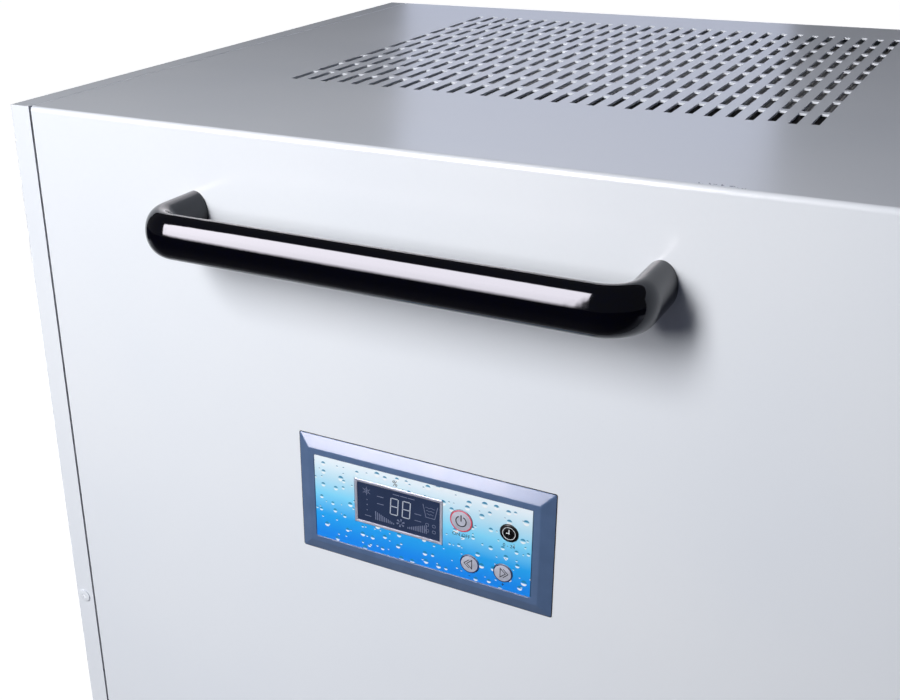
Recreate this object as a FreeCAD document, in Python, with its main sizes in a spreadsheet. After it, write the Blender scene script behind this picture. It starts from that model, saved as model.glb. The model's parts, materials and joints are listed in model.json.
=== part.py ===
"""Atmospheric water generator: a sheet-metal cabinet on casters that condenses water from the air.

Sizes are in millimetres. The origin is on the floor under the middle of the whole machine. +Z is up, the
front faces -Y and +X is the right side seen from the front.
"""
import FreeCAD, Part
import math
import os
import re

import Sketcher

Vector = FreeCAD.Vector
Rotation = FreeCAD.Rotation

SIZES = {
    # Cabinet sheet metal
    "cabinet_width": 500, "cabinet_depth": 430, "cabinet_height": 900, "floor_gap": 70,
    "sheet_gauge": 1.2, "side_fold": 14, "seam_gap": 1.5, "edge_return": 12, "front_bend": 2.5,
    "front_flange": 4, "edge_bend": 1.5, "overcut": 1, "pan_gauge": 1.5, "pan_flange": 30, "fit_gap": 0.3,
    "return_gap": 4, "shelf_gap": 1, "top_lip": 15, "post_gauge": 1.5, "post_leg": 12.5,
    # Slots, punched with one tool in the top and in the rear panel
    "slot_width": 4, "slot_length": 24.8, "slot_pitch": 10, "slot_row_pitch": 29.5, "slot_stagger": 2.1,
    "slot_margin": 87, "slot_shift": -1.3, "outlet_setback": 122.7, "outlet_margin": 40, "inlet_gap": 2,
    # Pull handle
    "handle_span": 240, "handle_bar": 22.6, "handle_depth": 15.6, "handle_standoff": 38, "handle_bend": 15,
    "handle_drop": 44.4, "handle_offset": -8.5, "handle_screw": 6, "handle_screw_head": 12,
    "handle_screw_reach": 14, "handle_screw_head_height": 4, "screw_clearance": 0.3,
    # Control panel
    "bezel_width": 143, "bezel_height": 69, "bezel_drop": 190, "bezel_rim": 0.5, "bezel_rise": 3.3,
    "bezel_bevel": 6.7, "bezel_land": 3.05, "bezel_ledge": 2, "bezel_wall": 2, "bezel_skirt": 9.8,
    "overlay_gauge": 0.8, "overlay_recess": 0.5, "overlay_gap": 0.2, "cutout_gap": 0.5,
    "display_width": 50.6, "display_height": 25.6, "display_x": -12.2, "display_z": 3.8, "display_rim": 1.4,
    "display_proud": 0.1, "glass_gauge": 1.2, "glass_recess": 0.3, "board_gauge": 1.6,
    "key_proud": 0.4, "key_gap": 0.3, "key_flange": 0.8, "key_flange_gauge": 0.8, "key_stem": 5,
    "key_stem_reach": 5.3, "key_travel": 0.6, "switch_size": 6,
    "power_diameter": 12, "power_x": 23.5, "power_z": 8.3,
    "timer_diameter": 9.5, "timer_x": 49.1, "timer_z": 8.6,
    "left_diameter": 10, "left_x": 28.4, "left_z": -15.2,
    "right_diameter": 10, "right_x": 46.4, "right_z": -15,
    # Fan and outlet
    "deck_drop": 57, "deck_setback": 112, "fan_inset": 130, "fan_diameter": 200, "fan_tip_gap": 4,
    "hub_diameter": 64, "hub_height": 26, "blade_count": 5, "blade_chord": 58, "blade_gauge": 2,
    "blade_pitch": 28, "motor_diameter": 88, "motor_height": 50, "motor_gap": 12, "shaft_diameter": 8,
    "shaft_gap": 0.1, "bracket_width": 26, "bracket_gauge": 2.5, "bracket_foot": 18,
    "screen_drop": 8, "screen_setback": 196, "screen_width": 310, "screen_gauge": 0.8,
    # Coils
    "shelf_height": 380, "partition_setback": 150, "coil_margin": 57, "coil_height": 396, "coil_depth": 30,
    "coil_gap": 8, "coil_inset": 25, "coil_rows": 8, "tube_diameter": 9.5, "tube_gap": 0.15,
    "tube_overhang": 15, "fin_gauge": 0.6, "fin_pitch": 6, "end_plate": 1.5, "coil_stand": 6,
    "tray_inset": 32, "tray_height": 22, "tray_gauge": 1.5, "tray_margin": 8, "tray_spout": 16,
    "spout_drop": 34, "spout_x": 60,
    # Refrigerant lines
    "pipe_inset": 15, "pipe_bend": 12, "pipe_level": 26, "capillary_diameter": 4, "capillary_inset": 30,
    "capillary_reach": 130, "capillary_rise": 10, "drier_diameter": 20, "drier_length": 90,
    "drier_height": 130, "drier_neck": 1, "pipe_gap": 0.2, "pass_gap": 3,
    # Compressor
    "compressor_x": -110, "compressor_setback": 120, "compressor_diameter": 124, "compressor_height": 232,
    "compressor_dome": 26, "compressor_wall": 12, "foot_diameter": 168, "foot_gauge": 3,
    "grommet_diameter": 22, "grommet_height": 12, "stud_diameter": 8, "stud_circle": 146, "stud_gap": 0.2,
    "nut_diameter": 14, "nut_height": 6, "port_height": 12, "port_wall": 1.5,
    "accumulator_x": -8, "accumulator_diameter": 50, "accumulator_height": 150, "accumulator_lift": 66,
    "accumulator_dome": 12, "elbow_drop": 24,
    # Electrics
    "ebox_width": 160, "ebox_depth": 60, "ebox_height": 150, "ebox_x": -100, "ebox_lift": 90,
    "ebox_gauge": 1.2, "capacitor_diameter": 44, "capacitor_height": 92,
    "sensor_width": 18, "sensor_depth": 8, "sensor_height": 34, "sensor_inset": 47, "sensor_z": 600,
    # Water tank
    "tank_width": 320, "front_bay": 215, "tank_height": 222, "tank_wall": 3, "tank_gap": 0.8,
    "tank_lift": 31.5, "tank_margin": 12, "fascia_gauge": 3, "opening_gap": 1.5, "grip_width": 120,
    "grip_height": 38, "grip_depth": 26, "grip_drop": 30, "guide_height": 15,
    "float_diameter": 40, "float_height": 26, "float_post": 10, "float_gap": 0.4, "float_travel": 140,
    "float_x": 110, "float_inset": 60, "collar_diameter": 16, "collar_height": 4,
    # Air filter
    "filter_width": 330, "filter_height": 392, "filter_depth": 8, "filter_border": 14, "filter_gap": 0.5,
    "filter_level": 420, "filter_mesh_gauge": 1, "rib_width": 6, "tab_width": 60, "tab_height": 12,
    "rail_gauge": 1.2, "rail_lip": 9, "rail_foot": 13,
    # Water treatment
    "cartridge_count": 3, "cartridge_inset": 37, "cartridge_pitch": 70, "cartridge_setback": 62.5,
    "cartridge_diameter": 58, "cartridge_height": 190, "cartridge_neck": 44, "cartridge_neck_height": 6,
    "cartridge_head_height": 32, "cartridge_dome": 8,
    "water_level": 12, "water_diameter": 8, "water_bend": 14, "water_rear": 150,
    "pump_x": 140, "pump_setback": 142.5, "pump_foot_width": 96, "pump_foot_depth": 56, "pump_foot_gauge": 3,
    "pump_head_width": 40, "pump_head_depth": 50, "pump_head_height": 58,
    "pump_motor_diameter": 46, "pump_motor_length": 50, "pump_motor_lift": 32, "nipple_diameter": 12,
    "nipple_bore": 7, "nipple_length": 15, "nipple_height": 14, "nipple_gap": 0.4, "socket_diameter": 20,
    "socket_depth": 20,
    # Rear fittings
    "spigot_length": 20.8, "spigot_diameter": 16, "spigot_bore": 11, "spigot_x": 150, "spigot_stub": 16,
    "flange_diameter": 28, "flange_gauge": 3, "tip_taper": 0.8, "tip_length": 2.8,
    "gland_bore": 8, "gland_diameter": 20, "gland_length": 18, "gland_x": -150,
    # Casters
    "caster_inset_x": 57, "caster_inset_y": 55, "wheel_diameter": 50, "wheel_width": 22, "caster_trail": 16,
    "plate_length": 60, "plate_width": 50, "plate_gauge": 2.5, "bolt_x": 20, "bolt_y": 24,
    "bolt_diameter": 6, "bolt_head": 10, "bolt_head_height": 2.5, "kingpin_diameter": 8,
    "pivot_gap": 0.4, "pin_gap": 0.2, "fork_head": 32, "fork_head_height": 6, "fork_gauge": 2.5,
    "fork_width": 22, "axle_diameter": 8, "axle_gap": 0.2, "cheek_gap": 1, "wheel_chamfer": 2,
    # Panel screws
    "screw_diameter": 4, "screw_head": 8, "screw_head_height": 1.1, "screw_reach": 6,
    "strip_screw_drop": 315, "rear_screw_margin": 47, "rear_screw_inset": 8,
}

doc = FreeCAD.newDocument("atmospheric_water_generator")
sheet = doc.addObject("Spreadsheet::Sheet", "Sizes")
for row, (alias, size) in enumerate(SIZES.items(), start=1):
    sheet.set(f"A{row}", alias)
    sheet.set(f"B{row}", str(size))
    sheet.setAlias(f"B{row}", alias)
doc.recompute()

# Places that many pieces share, as expressions of the sheet's sizes
TOP = "(floor_gap + cabinet_height)"
FRONT = "((handle_standoff + handle_depth / 2 - cabinet_depth - spigot_length) / 2)"
BACK = f"({FRONT} + cabinet_depth)"
PANEL_WIDTH = "(cabinet_width - 2 * side_fold - 2 * seam_gap)"
INNER_WIDTH = "(cabinet_width - 2 * sheet_gauge)"
PAN_UNDER = "(floor_gap + sheet_gauge)"
PAN_FLOOR = f"({PAN_UNDER} + pan_gauge)"
PAN_RIM = f"({PAN_UNDER} + pan_flange)"
INSET = "(sheet_gauge + edge_return + shelf_gap)"
SHELF_TOP = "(shelf_height + sheet_gauge)"
DECK_TOP = f"({TOP} - deck_drop)"
DECK_UNDER = f"({DECK_TOP} - sheet_gauge)"
TRAY_FLOOR = f"({SHELF_TOP} + tray_gauge)"
COIL_BOTTOM = f"({TRAY_FLOOR} + coil_stand)"
COIL_ROW_PITCH = "(coil_height / coil_rows)"
BEZEL_X = "0"
BEZEL_Z = f"({TOP} - bezel_drop)"
OVERLAY_BACK = f"({FRONT} - bezel_rise + overlay_recess + overlay_gauge)"
TANK_BOTTOM = f"({PAN_FLOOR} + tank_lift)"
TANK_BACK = f"({BACK} + fit_gap)"
PLATE_UNDER = f"({PAN_UNDER} - plate_gauge)"
PIPE_Z = "(shelf_height - pipe_level)"
WATER_Z = "(shelf_height - water_level)"
PIPE_X = "(cabinet_width / 2 - pipe_inset)"
CAPILLARY_X = "(cabinet_width / 2 - capillary_inset)"
COIL_WIDTH = "(cabinet_width - 2 * coil_margin)"
TRAY_WIDTH = "(cabinet_width - 2 * tray_inset)"
TANK_DEPTH = "(cabinet_depth - front_bay)"
CARTRIDGE_LAST = "(cabinet_width / 2 - cartridge_inset)"
CARTRIDGE_FIRST = f"({CARTRIDGE_LAST} - (cartridge_count - 1) * cartridge_pitch)"
SLOT_COLUMNS = f"floor(({PANEL_WIDTH} - 2 * slot_margin + slot_pitch - slot_width) / slot_pitch)"
OUTLET_ROWS = "floor((cabinet_depth - outlet_setback - outlet_margin) / slot_row_pitch)"
INLET_ROWS = "floor((filter_height - 2 * filter_border) / slot_row_pitch)"
INLET_START = "(filter_level + filter_border + inlet_gap)"

STUD_COUNT = 3
NODES = []


def refer(expression):
    """Turn size names into references to the sheet's cells."""
    return re.sub(r"[a-z_]\w*", lambda name: f"Sizes.{name[0]}" if name[0] in SIZES else name[0], expression)


def number(expression):
    """The present value of an expression of sizes."""
    return float(sheet.evalExpression(refer(str(expression))))


def bind(item, prop, expression):
    item.setExpression(prop, refer(str(expression)))


def place(item, at, rotation=None):
    """Put an item at a point given by three expressions, turned by a fixed rotation."""
    item.Placement = FreeCAD.Placement(Vector(*(number(value) for value in at)), rotation or Rotation())
    for axis, value in zip("xyz", at):
        bind(item, f"Placement.Base.{axis}", value)
    return item


def keep(item, node):
    """Name the finished sub-part that becomes one node."""
    item.Label = node
    NODES.append(item)
    return item


def centred(width):
    """A span that is symmetric about zero."""
    return (f"-({width}) / 2", width)


def edge_span(width, gauge, side):
    """A thin span just inside one end of a symmetric width."""
    return (f"-({width}) / 2" if side < 0 else f"({width}) / 2 - {gauge}", gauge)


def box(name, x, y, z):
    """A block from three spans, each a start and a size."""
    item = doc.addObject("Part::Box", name)
    for prop, (_, size) in zip(("Length", "Width", "Height"), (x, y, z)):
        bind(item, prop, size)
    return place(item, (x[0], y[0], z[0]))


TURNS = {"x": Rotation(Vector(0, 1, 0), 90), "y": Rotation(Vector(1, 0, 0), -90), "z": Rotation()}


def rod(name, diameter, length, at, axis="z"):
    """A round bar that starts at a point and runs along an axis."""
    item = doc.addObject("Part::Cylinder", name)
    bind(item, "Radius", f"({diameter}) / 2")
    bind(item, "Height", length)
    return place(item, at, TURNS[axis])


def fuse(name, *items, refine=True):
    joined = doc.addObject("Part::MultiFuse", name)
    joined.Shapes = list(items)
    joined.Refine = refine
    return joined


def cut(name, base, *tools):
    removed = tools[0] if len(tools) == 1 else group(f"{name}_tools", *tools)
    result = doc.addObject("Part::Cut", name)
    result.Base = base
    result.Tool = removed
    return result


def group(name, *items):
    """Separate solids that share one node, or one cut."""
    together = doc.addObject("Part::Compound", name)
    together.Links = list(items)
    return together


def shaped(name, shape, at=("0", "0", "0"), rotation=None):
    """A form that is made directly, placed afterwards."""
    item = doc.addObject("Part::Feature", name)
    item.Shape = shape
    return place(item, at, rotation)


def turned(name, profile, at, axis="z"):
    """A body of revolution from (radius, height) corners."""
    body = doc.addObject("PartDesign::Body", name)
    plane = next(part for part in body.Origin.OriginFeatures if part.Role == "XZ_Plane")
    sketch = body.newObject("Sketcher::SketchObject", f"{name}_profile")
    sketch.AttachmentSupport = [(plane, "")]
    sketch.MapMode = "FlatFace"
    corners = [Vector(number(radius), number(height), 0) for radius, height in profile]
    for start, end in zip(corners, corners[1:] + corners[:1]):
        sketch.addGeometry(Part.LineSegment(start, end), False)
    for index, (radius, height) in enumerate(profile):
        following = (index + 1) % len(profile)
        sketch.addConstraint(Sketcher.Constraint("Coincident", index, 2, following, 1))
    for index, (radius, height) in enumerate(profile):
        for kind, value in (("DistanceX", radius), ("DistanceY", height)):
            rule = sketch.addConstraint(Sketcher.Constraint(kind, -1, 1, index, 1, number(value)))
            bind(sketch, f"Constraints[{rule}]", value)
    spun = body.newObject("PartDesign::Revolution", f"{name}_turn")
    spun.Profile = sketch
    spun.ReferenceAxis = (sketch, ["V_Axis"])
    spun.Angle = 360
    return place(body, at, TURNS[axis])


def rounded(name, base, radius, chosen):
    """Round the edges that a test picks out."""
    doc.recompute([base])
    size = number(radius)
    picked = [(index, size, size) for index, edge in enumerate(base.Shape.Edges, start=1) if chosen(edge)]
    item = doc.addObject("Part::Fillet", name)
    item.Base = base
    item.Edges = picked
    return item


def at_level(value, axis):
    """A test for straight edges that lie in the plane where an axis has a value."""
    level = number(value)
    return lambda edge: all(abs(getattr(corner.Point, axis) - level) < 1e-6 for corner in edge.Vertexes)


def rectangle(x0, x1, z0, z1):
    """A closed wire in the XY plane."""
    return Part.makePolygon([Vector(x0, z0), Vector(x1, z0), Vector(x1, z1), Vector(x0, z1), Vector(x0, z0)])


def circle_wire(x, z, radius):
    return Part.Wire(Part.makeCircle(radius, Vector(x, z, 0)))


def slot_wires(rows, start):
    """The grid of slots, a little left of the middle: every second column is set back by the stagger."""
    columns = round(number(SLOT_COLUMNS))
    left = number(f"slot_shift - (({SLOT_COLUMNS} - 1) * slot_pitch + slot_width) / 2")
    wires = []
    for column in range(columns):
        x = left + column * number("slot_pitch")
        for line in range(rows):
            z = start + line * number("slot_row_pitch") + (column % 2) * number("slot_stagger")
            wires.append(rectangle(x, x + number("slot_width"), z, z + number("slot_length")))
    return wires


def holed_plate(outer, holes, thickness):
    """A flat plate in the XY plane with its holes, as one face given a thickness."""
    return Part.Face([outer, *(hole.reversed() for hole in holes)]).extrude(Vector(0, 0, thickness))


def slotted_plate(low, high, rows, start, holes=()):
    """A panel in the XY plane, made as one strip for each row of slots and joined."""
    half = number(PANEL_WIDTH) / 2
    margin = number("slot_row_pitch - slot_length - slot_stagger") / 2
    lines = [low, *(start - margin + row * number("slot_row_pitch") for row in range(rows + 1)), high]
    wires = slot_wires(rows, start) + list(holes)
    strips = []
    for bottom, top in zip(lines, lines[1:]):
        inside = [wire for wire in wires if bottom < wire.BoundBox.YMin and wire.BoundBox.YMax < top]
        strips.append(holed_plate(rectangle(-half, half, bottom, top), inside, number("sheet_gauge")))
    return strips[0].multiFuse(strips[1:])


def tube_path(points, bend):
    """Straight runs joined by tangent arcs of one radius."""
    edges = []
    start = points[0]
    for before, corner, after in zip(points, points[1:], points[2:]):
        back = (before - corner).normalize()
        ahead = (after - corner).normalize()
        half = back.getAngle(ahead) / 2
        reach = bend / math.tan(half)
        entry = corner + back * reach
        leave = corner + ahead * reach
        inward = (back + ahead).normalize()
        middle = corner + inward * (bend / math.sin(half) - bend)
        if (entry - start).Length > 1e-6:
            edges.append(Part.LineSegment(start, entry).toShape())
        edges.append(Part.Arc(entry, middle, leave).toShape())
        start = leave
    edges.append(Part.LineSegment(start, points[-1]).toShape())
    return Part.Wire(edges)


def tube(path, diameter):
    """A round bar swept along a path of runs and arcs."""
    first = path.Edges[0]
    direction = first.tangentAt(first.FirstParameter)
    section = Part.Wire(Part.makeCircle(diameter / 2, first.Vertexes[0].Point, direction))
    return path.makePipeShell([section], True, False)


def side_panel(node, side):
    """A folded tray: the outer sheet and four returns that face inwards."""
    outer_x = f"{side} * cabinet_width / 2"
    start = "-cabinet_width / 2" if side < 0 else "cabinet_width / 2 - side_fold"
    block = box(f"{node}_block", (start, "side_fold"), (FRONT, "cabinet_depth"),
                ("floor_gap", "cabinet_height"))
    bent = rounded(f"{node}_bends", block, "edge_bend", at_level(outer_x, "x"))
    inner_x = "-cabinet_width / 2 + sheet_gauge" if side < 0 else "cabinet_width / 2 - side_fold - overcut"
    hollow = box(f"{node}_hollow", (inner_x, "side_fold - sheet_gauge + overcut"),
                 (f"{FRONT} + sheet_gauge", "cabinet_depth - 2 * sheet_gauge"),
                 ("floor_gap + sheet_gauge", "cabinet_height - 2 * sheet_gauge"))
    holes = [rod(f"{node}_hole_{index}", "screw_diameter + screw_clearance", "2 * sheet_gauge",
                 (f"{side} * (cabinet_width - side_fold) / 2", f"{FRONT} - sheet_gauge / 2", z), "y")
             for index, z in enumerate(STRIP_SCREWS)]
    keep(cut(f"{node}_sheet", bent, hollow, *holes), node)


STRIP_SCREWS = (f"{TOP} - strip_screw_drop", f"{TOP} - 2 * strip_screw_drop")


def corner_post(side):
    """An angle behind the front return of a side panel, standing on the base pan's rim."""
    node = f"post_{side + 1}"
    inner = "cabinet_width / 2 - sheet_gauge"
    front = f"{FRONT} + sheet_gauge"
    height = (PAN_RIM, f"{TOP} - sheet_gauge - {PAN_RIM}")
    leg_start = f"-({inner})" if side < 0 else f"{inner} - post_leg"
    wall_start = f"-({inner})" if side < 0 else f"{inner} - post_gauge"
    leg = box(f"{node}_leg", (leg_start, "post_leg"), (front, "post_gauge"), height)
    wall = box(f"{node}_wall", (wall_start, "post_gauge"), (front, "edge_return"), height)
    holes = [rod(f"{node}_hole_{index}", "screw_diameter + screw_clearance", "3 * post_gauge",
                 (f"{side} * (cabinet_width - side_fold) / 2", f"{front} - post_gauge", z), "y")
             for index, z in enumerate(STRIP_SCREWS)]
    return cut(f"{node}_angle", fuse(f"{node}_fold", leg, wall), *holes)


def caster_places():
    for end, depth in (("front", -1), ("rear", 1)):
        for hand, side in (("left", -1), ("right", 1)):
            x = f"{side} * (cabinet_width / 2 - caster_inset_x)"
            y = f"{FRONT} + cabinet_depth / 2 + {depth} * (cabinet_depth / 2 - caster_inset_y)"
            yield f"{end}_{hand}", x, y


def bolt_places():
    for name, x, y in caster_places():
        for across in (-1, 1):
            for along in (-1, 1):
                spot = f"{name}_{across + 1}{along + 1}"
                yield spot, f"{x} + {across} * bolt_x", f"{y} + {along} * bolt_y"


def stud_places():
    """Studs on a circle about the compressor, the first of them in front."""
    for index in range(STUD_COUNT):
        angle = math.radians(360 * index / STUD_COUNT - 90)
        x = f"compressor_x + {math.cos(angle):.6f} * stud_circle / 2"
        y = f"{FRONT} + compressor_setback + {math.sin(angle):.6f} * stud_circle / 2"
        yield index, x, y


def base_pan():
    """A tray with upturned flanges that lies on the side panels' bottom returns."""
    span = (f"{FRONT} + sheet_gauge", "cabinet_depth - 2 * sheet_gauge")
    block = box("pan_block", centred(INNER_WIDTH), span, (PAN_UNDER, "pan_flange"))
    hollow = box("pan_hollow", centred(f"{INNER_WIDTH} - 2 * pan_gauge"),
                 (f"{span[0]} + pan_gauge", f"{span[1]} - 2 * pan_gauge"), (PAN_FLOOR, "pan_flange"))
    bolts = [rod(f"pan_bolt_{name}", "bolt_diameter + screw_clearance", "3 * pan_gauge",
                 (x, y, f"{PAN_UNDER} - pan_gauge")) for name, x, y in bolt_places()]
    studs = [rod(f"pan_stud_{index}", "stud_diameter + stud_gap", "3 * pan_gauge",
                 (x, y, f"{PAN_UNDER} - pan_gauge")) for index, x, y in stud_places()]
    screws = [rod(f"pan_screw_{index}", "screw_diameter + screw_clearance", "3 * pan_gauge",
                  (x, f"{BACK} - sheet_gauge - 2 * pan_gauge", REAR_SCREW_LOW), "y")
              for index, x in enumerate(REAR_SCREW_X)]
    keep(cut("pan_sheet", block, hollow, *bolts, *studs, *screws), "base_pan")


REAR_SCREW_X = ("-(cabinet_width / 2 - rear_screw_margin)", "cabinet_width / 2 - rear_screw_margin")
REAR_SCREW_LOW = f"({PAN_UNDER} + rear_screw_inset + pan_gauge)"
REAR_SCREW_HIGH = f"({TOP} - sheet_gauge - rear_screw_inset)"


def panel_return(name, side, y):
    """A vertical return along one edge of the front or rear panel."""
    low = f"({PAN_RIM} + return_gap)"
    return box(name, edge_span(PANEL_WIDTH, "sheet_gauge", side), (y, "edge_return + sheet_gauge"),
               (low, f"{TOP} - top_lip - sheet_gauge - return_gap - {low}"))


def front_panel():
    """The front sheet, bent back at the top to butt against the top panel, with returns and cut-outs."""
    plate = box("front_plate", centred(PANEL_WIDTH), (FRONT, "sheet_gauge"), ("floor_gap", "cabinet_height"))
    flange = box("front_top", centred(PANEL_WIDTH), (FRONT, "front_flange"),
                 (f"{TOP} - sheet_gauge", "sheet_gauge"))
    front_edge = at_level(FRONT, "y")
    top_edge = at_level(TOP, "z")
    bent = rounded("front_bent", fuse("front_angle", plate, flange), "front_bend",
                   lambda edge: front_edge(edge) and top_edge(edge))
    returns = [panel_return(f"front_return_{side + 1}", side, FRONT) for side in (-1, 1)]
    under = box("front_under", centred(PANEL_WIDTH), (FRONT, "edge_return"), ("floor_gap", "sheet_gauge"))
    skirt = box("front_cutout", centred(f"{SKIRT_WIDTH} + 2 * cutout_gap"),
                (f"{FRONT} - sheet_gauge", "3 * sheet_gauge"),
                (f"{BEZEL_Z} - {SKIRT_HEIGHT} / 2 - cutout_gap", f"{SKIRT_HEIGHT} + 2 * cutout_gap"))
    holes = [rod(f"front_hole_{index}", "handle_screw + screw_clearance", "3 * sheet_gauge",
                 (x, f"{FRONT} - sheet_gauge", HANDLE_Z), "y") for index, x in enumerate(HANDLE_X)]
    keep(cut("front_sheet", fuse("front_fold", bent, *returns, under), skirt, *holes), "front_panel")


SKIRT_WIDTH = "(bezel_width - 2 * (bezel_bevel + bezel_land + bezel_ledge) + 2 * bezel_wall)"
SKIRT_HEIGHT = "(bezel_height - 2 * (bezel_bevel + bezel_land + bezel_ledge) + 2 * bezel_wall)"
HANDLE_X = ("handle_offset - handle_span / 2", "handle_offset + handle_span / 2")
HANDLE_Z = f"({TOP} - handle_drop)"


def top_panel():
    """The slotted lid, flush with the front panel's bend, with a lip turned down all round."""
    y = (f"{FRONT} + front_flange", "cabinet_depth - front_flange - sheet_gauge - fit_gap")
    first_row = number("outlet_setback - front_flange")
    form = slotted_plate(0, number(y[1]), round(number(OUTLET_ROWS)), first_row)
    plate = shaped("top_plate", form, ("0", y[0], f"{TOP} - sheet_gauge"))
    z = (f"{TOP} - sheet_gauge - top_lip", "top_lip")
    block = box("top_block", centred(PANEL_WIDTH), y, z)
    hollow = box("top_hollow", centred(f"{PANEL_WIDTH} - 2 * sheet_gauge"),
                 (f"{y[0]} + sheet_gauge", f"{y[1]} - 2 * sheet_gauge"), z)
    holes = [rod(f"top_hole_{index}", "screw_diameter + screw_clearance", "3 * sheet_gauge",
                 (x, f"{BACK} - 3 * sheet_gauge", REAR_SCREW_HIGH), "y")
             for index, x in enumerate(REAR_SCREW_X)]
    lip = cut("top_lip_ring", block, hollow, *holes)
    keep(fuse("top_sheet", plate, lip, refine=False), "top_panel")


def rear_panel():
    """The back sheet: inlet slots above, the tank's opening below, and holes for the fittings."""
    wide = number("tank_width / 2 + opening_gap")
    low = number(f"{TANK_BOTTOM} - opening_gap")
    holes = [rectangle(-wide, wide, low, low + number("tank_height + 2 * opening_gap"))]
    for fitting in ("spigot", "gland"):
        holes.append(circle_wire(number(f"{fitting}_x"), number(WATER_Z),
                                 number(f"{fitting}_diameter / 2 + screw_clearance")))
    for x in REAR_SCREW_X:
        for z in (REAR_SCREW_LOW, REAR_SCREW_HIGH):
            holes.append(circle_wire(number(x), number(z), number("(screw_diameter + screw_clearance) / 2")))
    form = slotted_plate(number("floor_gap"), number(TOP), round(number(INLET_ROWS)),
                         number(INLET_START), holes)
    plate = shaped("rear_plate", form, ("0", BACK, "0"), Rotation(Vector(1, 0, 0), 90))
    returns = [panel_return(f"rear_return_{side + 1}", side, f"{BACK} - sheet_gauge - edge_return")
               for side in (-1, 1)]
    keep(fuse("rear_sheet", plate, *returns, refine=False), "rear_panel")


def oval(name, at, rotation):
    """The handle's section: an ellipse whose long axis stands upright."""
    item = doc.addObject("Part::Ellipse", name)
    bind(item, "MajorRadius", "handle_bar / 2")
    bind(item, "MinorRadius", "handle_depth / 2")
    return place(item, at, rotation)


def drawn(name, section, direction, length):
    """A section drawn out straight."""
    item = doc.addObject("Part::Extrusion", name)
    item.Base = section
    item.DirMode = "Custom"
    item.Dir = direction
    item.Solid = True
    bind(item, "LengthFwd", length)
    return item


def pull_handle():
    """An oval bar on two legs, with rounded corners, bored for its screws."""
    pieces = []
    bend_y = f"{FRONT} - handle_standoff + handle_bend"
    across = Rotation(Vector(1, 1, 1), 240)
    for index, (x, side) in enumerate(zip(HANDLE_X, (-1, 1))):
        section = oval(f"handle_foot_{index}", (x, bend_y, HANDLE_Z), across)
        leg = drawn(f"handle_leg_{index}", section, Vector(0, 1, 0), "handle_standoff - handle_bend")
        bore = rod(f"handle_bore_{index}", "handle_screw + screw_clearance", "handle_screw_reach + overcut",
                   (x, f"{FRONT} - handle_screw_reach", HANDLE_Z), "y")
        pieces.append(cut(f"handle_bored_{index}", leg, bore))
        corner = doc.addObject("Part::Revolution", f"handle_corner_{index}")
        corner.Source = section
        corner.Axis = Vector(0, 0, -side)
        corner.Angle = 90
        corner.Solid = True
        for axis, value in zip("xyz", (f"{x} - {side} * handle_bend", bend_y, HANDLE_Z)):
            bind(corner, f"Base.{axis}", value)
        pieces.append(corner)
    start = (f"{HANDLE_X[0]} + handle_bend", f"{FRONT} - handle_standoff", HANDLE_Z)
    section = oval("handle_grip_end", start, Rotation(Vector(0, 1, 0), -90))
    pieces.append(drawn("handle_grip", section, Vector(1, 0, 0), "handle_span - 2 * handle_bend"))
    keep(fuse("handle_form", *pieces), "pull_handle")


def handle_screws():
    screws = []
    for index, x in enumerate(HANDLE_X):
        inside = f"{FRONT} + sheet_gauge"
        shank = rod(f"handle_shank_{index}", "handle_screw", "handle_screw_reach + sheet_gauge - fit_gap",
                    (x, f"{FRONT} - handle_screw_reach + fit_gap", HANDLE_Z), "y")
        head = rod(f"handle_head_{index}", "handle_screw_head", "handle_screw_head_height",
                   (x, inside, HANDLE_Z), "y")
        screws.append(fuse(f"handle_screw_{index}", shank, head))
    keep(group("handle_screw_set", *screws), "handle_screws")


def window_span(margin, wide):
    """A span about the bezel's middle that leaves a margin inside its outer edge."""
    size, middle = ("bezel_width", BEZEL_X) if wide else ("bezel_height", BEZEL_Z)
    return (f"{middle} - {size} / 2 + {margin}", f"{size} - 2 * ({margin})")


def control_bezel():
    """A bevelled frame with a recess for the overlay and a skirt through the front panel."""
    rim = box("bezel_rim_block", window_span("0", True), (f"{FRONT} - bezel_rim", "bezel_rim"),
              window_span("0", False))
    bevel = doc.addObject("Part::Wedge", "bezel_bevels")
    extents = {"Ymin": "0", "Ymax": "bezel_rise - bezel_rim"}
    for axis, size in (("X", "bezel_width"), ("Z", "bezel_height")):
        extents[f"{axis}min"] = f"-{size} / 2"
        extents[f"{axis}max"] = f"{size} / 2"
        extents[f"{axis}2min"] = f"-{size} / 2 + bezel_bevel"
        extents[f"{axis}2max"] = f"{size} / 2 - bezel_bevel"
    for prop, value in extents.items():
        setattr(bevel, prop, number(value))
        bind(bevel, prop, value)
    place(bevel, (BEZEL_X, f"{FRONT} - bezel_rim", BEZEL_Z), Rotation(Vector(0, 0, 1), 180))
    skirt = box("bezel_skirt_block", centred(SKIRT_WIDTH), (FRONT, "bezel_skirt"),
                (f"{BEZEL_Z} - {SKIRT_HEIGHT} / 2", SKIRT_HEIGHT))
    land = "bezel_bevel + bezel_land"
    recess = box("bezel_recess", window_span(land, True), (f"{OVERLAY_BACK} - bezel_rise", "bezel_rise"),
                 window_span(land, False))
    ledge = f"{land} + bezel_ledge"
    window = box("bezel_window", window_span(ledge, True),
                 (f"{FRONT} - 2 * bezel_rise", "bezel_skirt + 3 * bezel_rise"), window_span(ledge, False))
    opened = cut("bezel_opened", fuse("bezel_form", rim, bevel, skirt), recess)
    keep(cut("bezel_frame", opened, window), "control_bezel")


KEYS = ("power", "timer", "left", "right")


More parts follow.
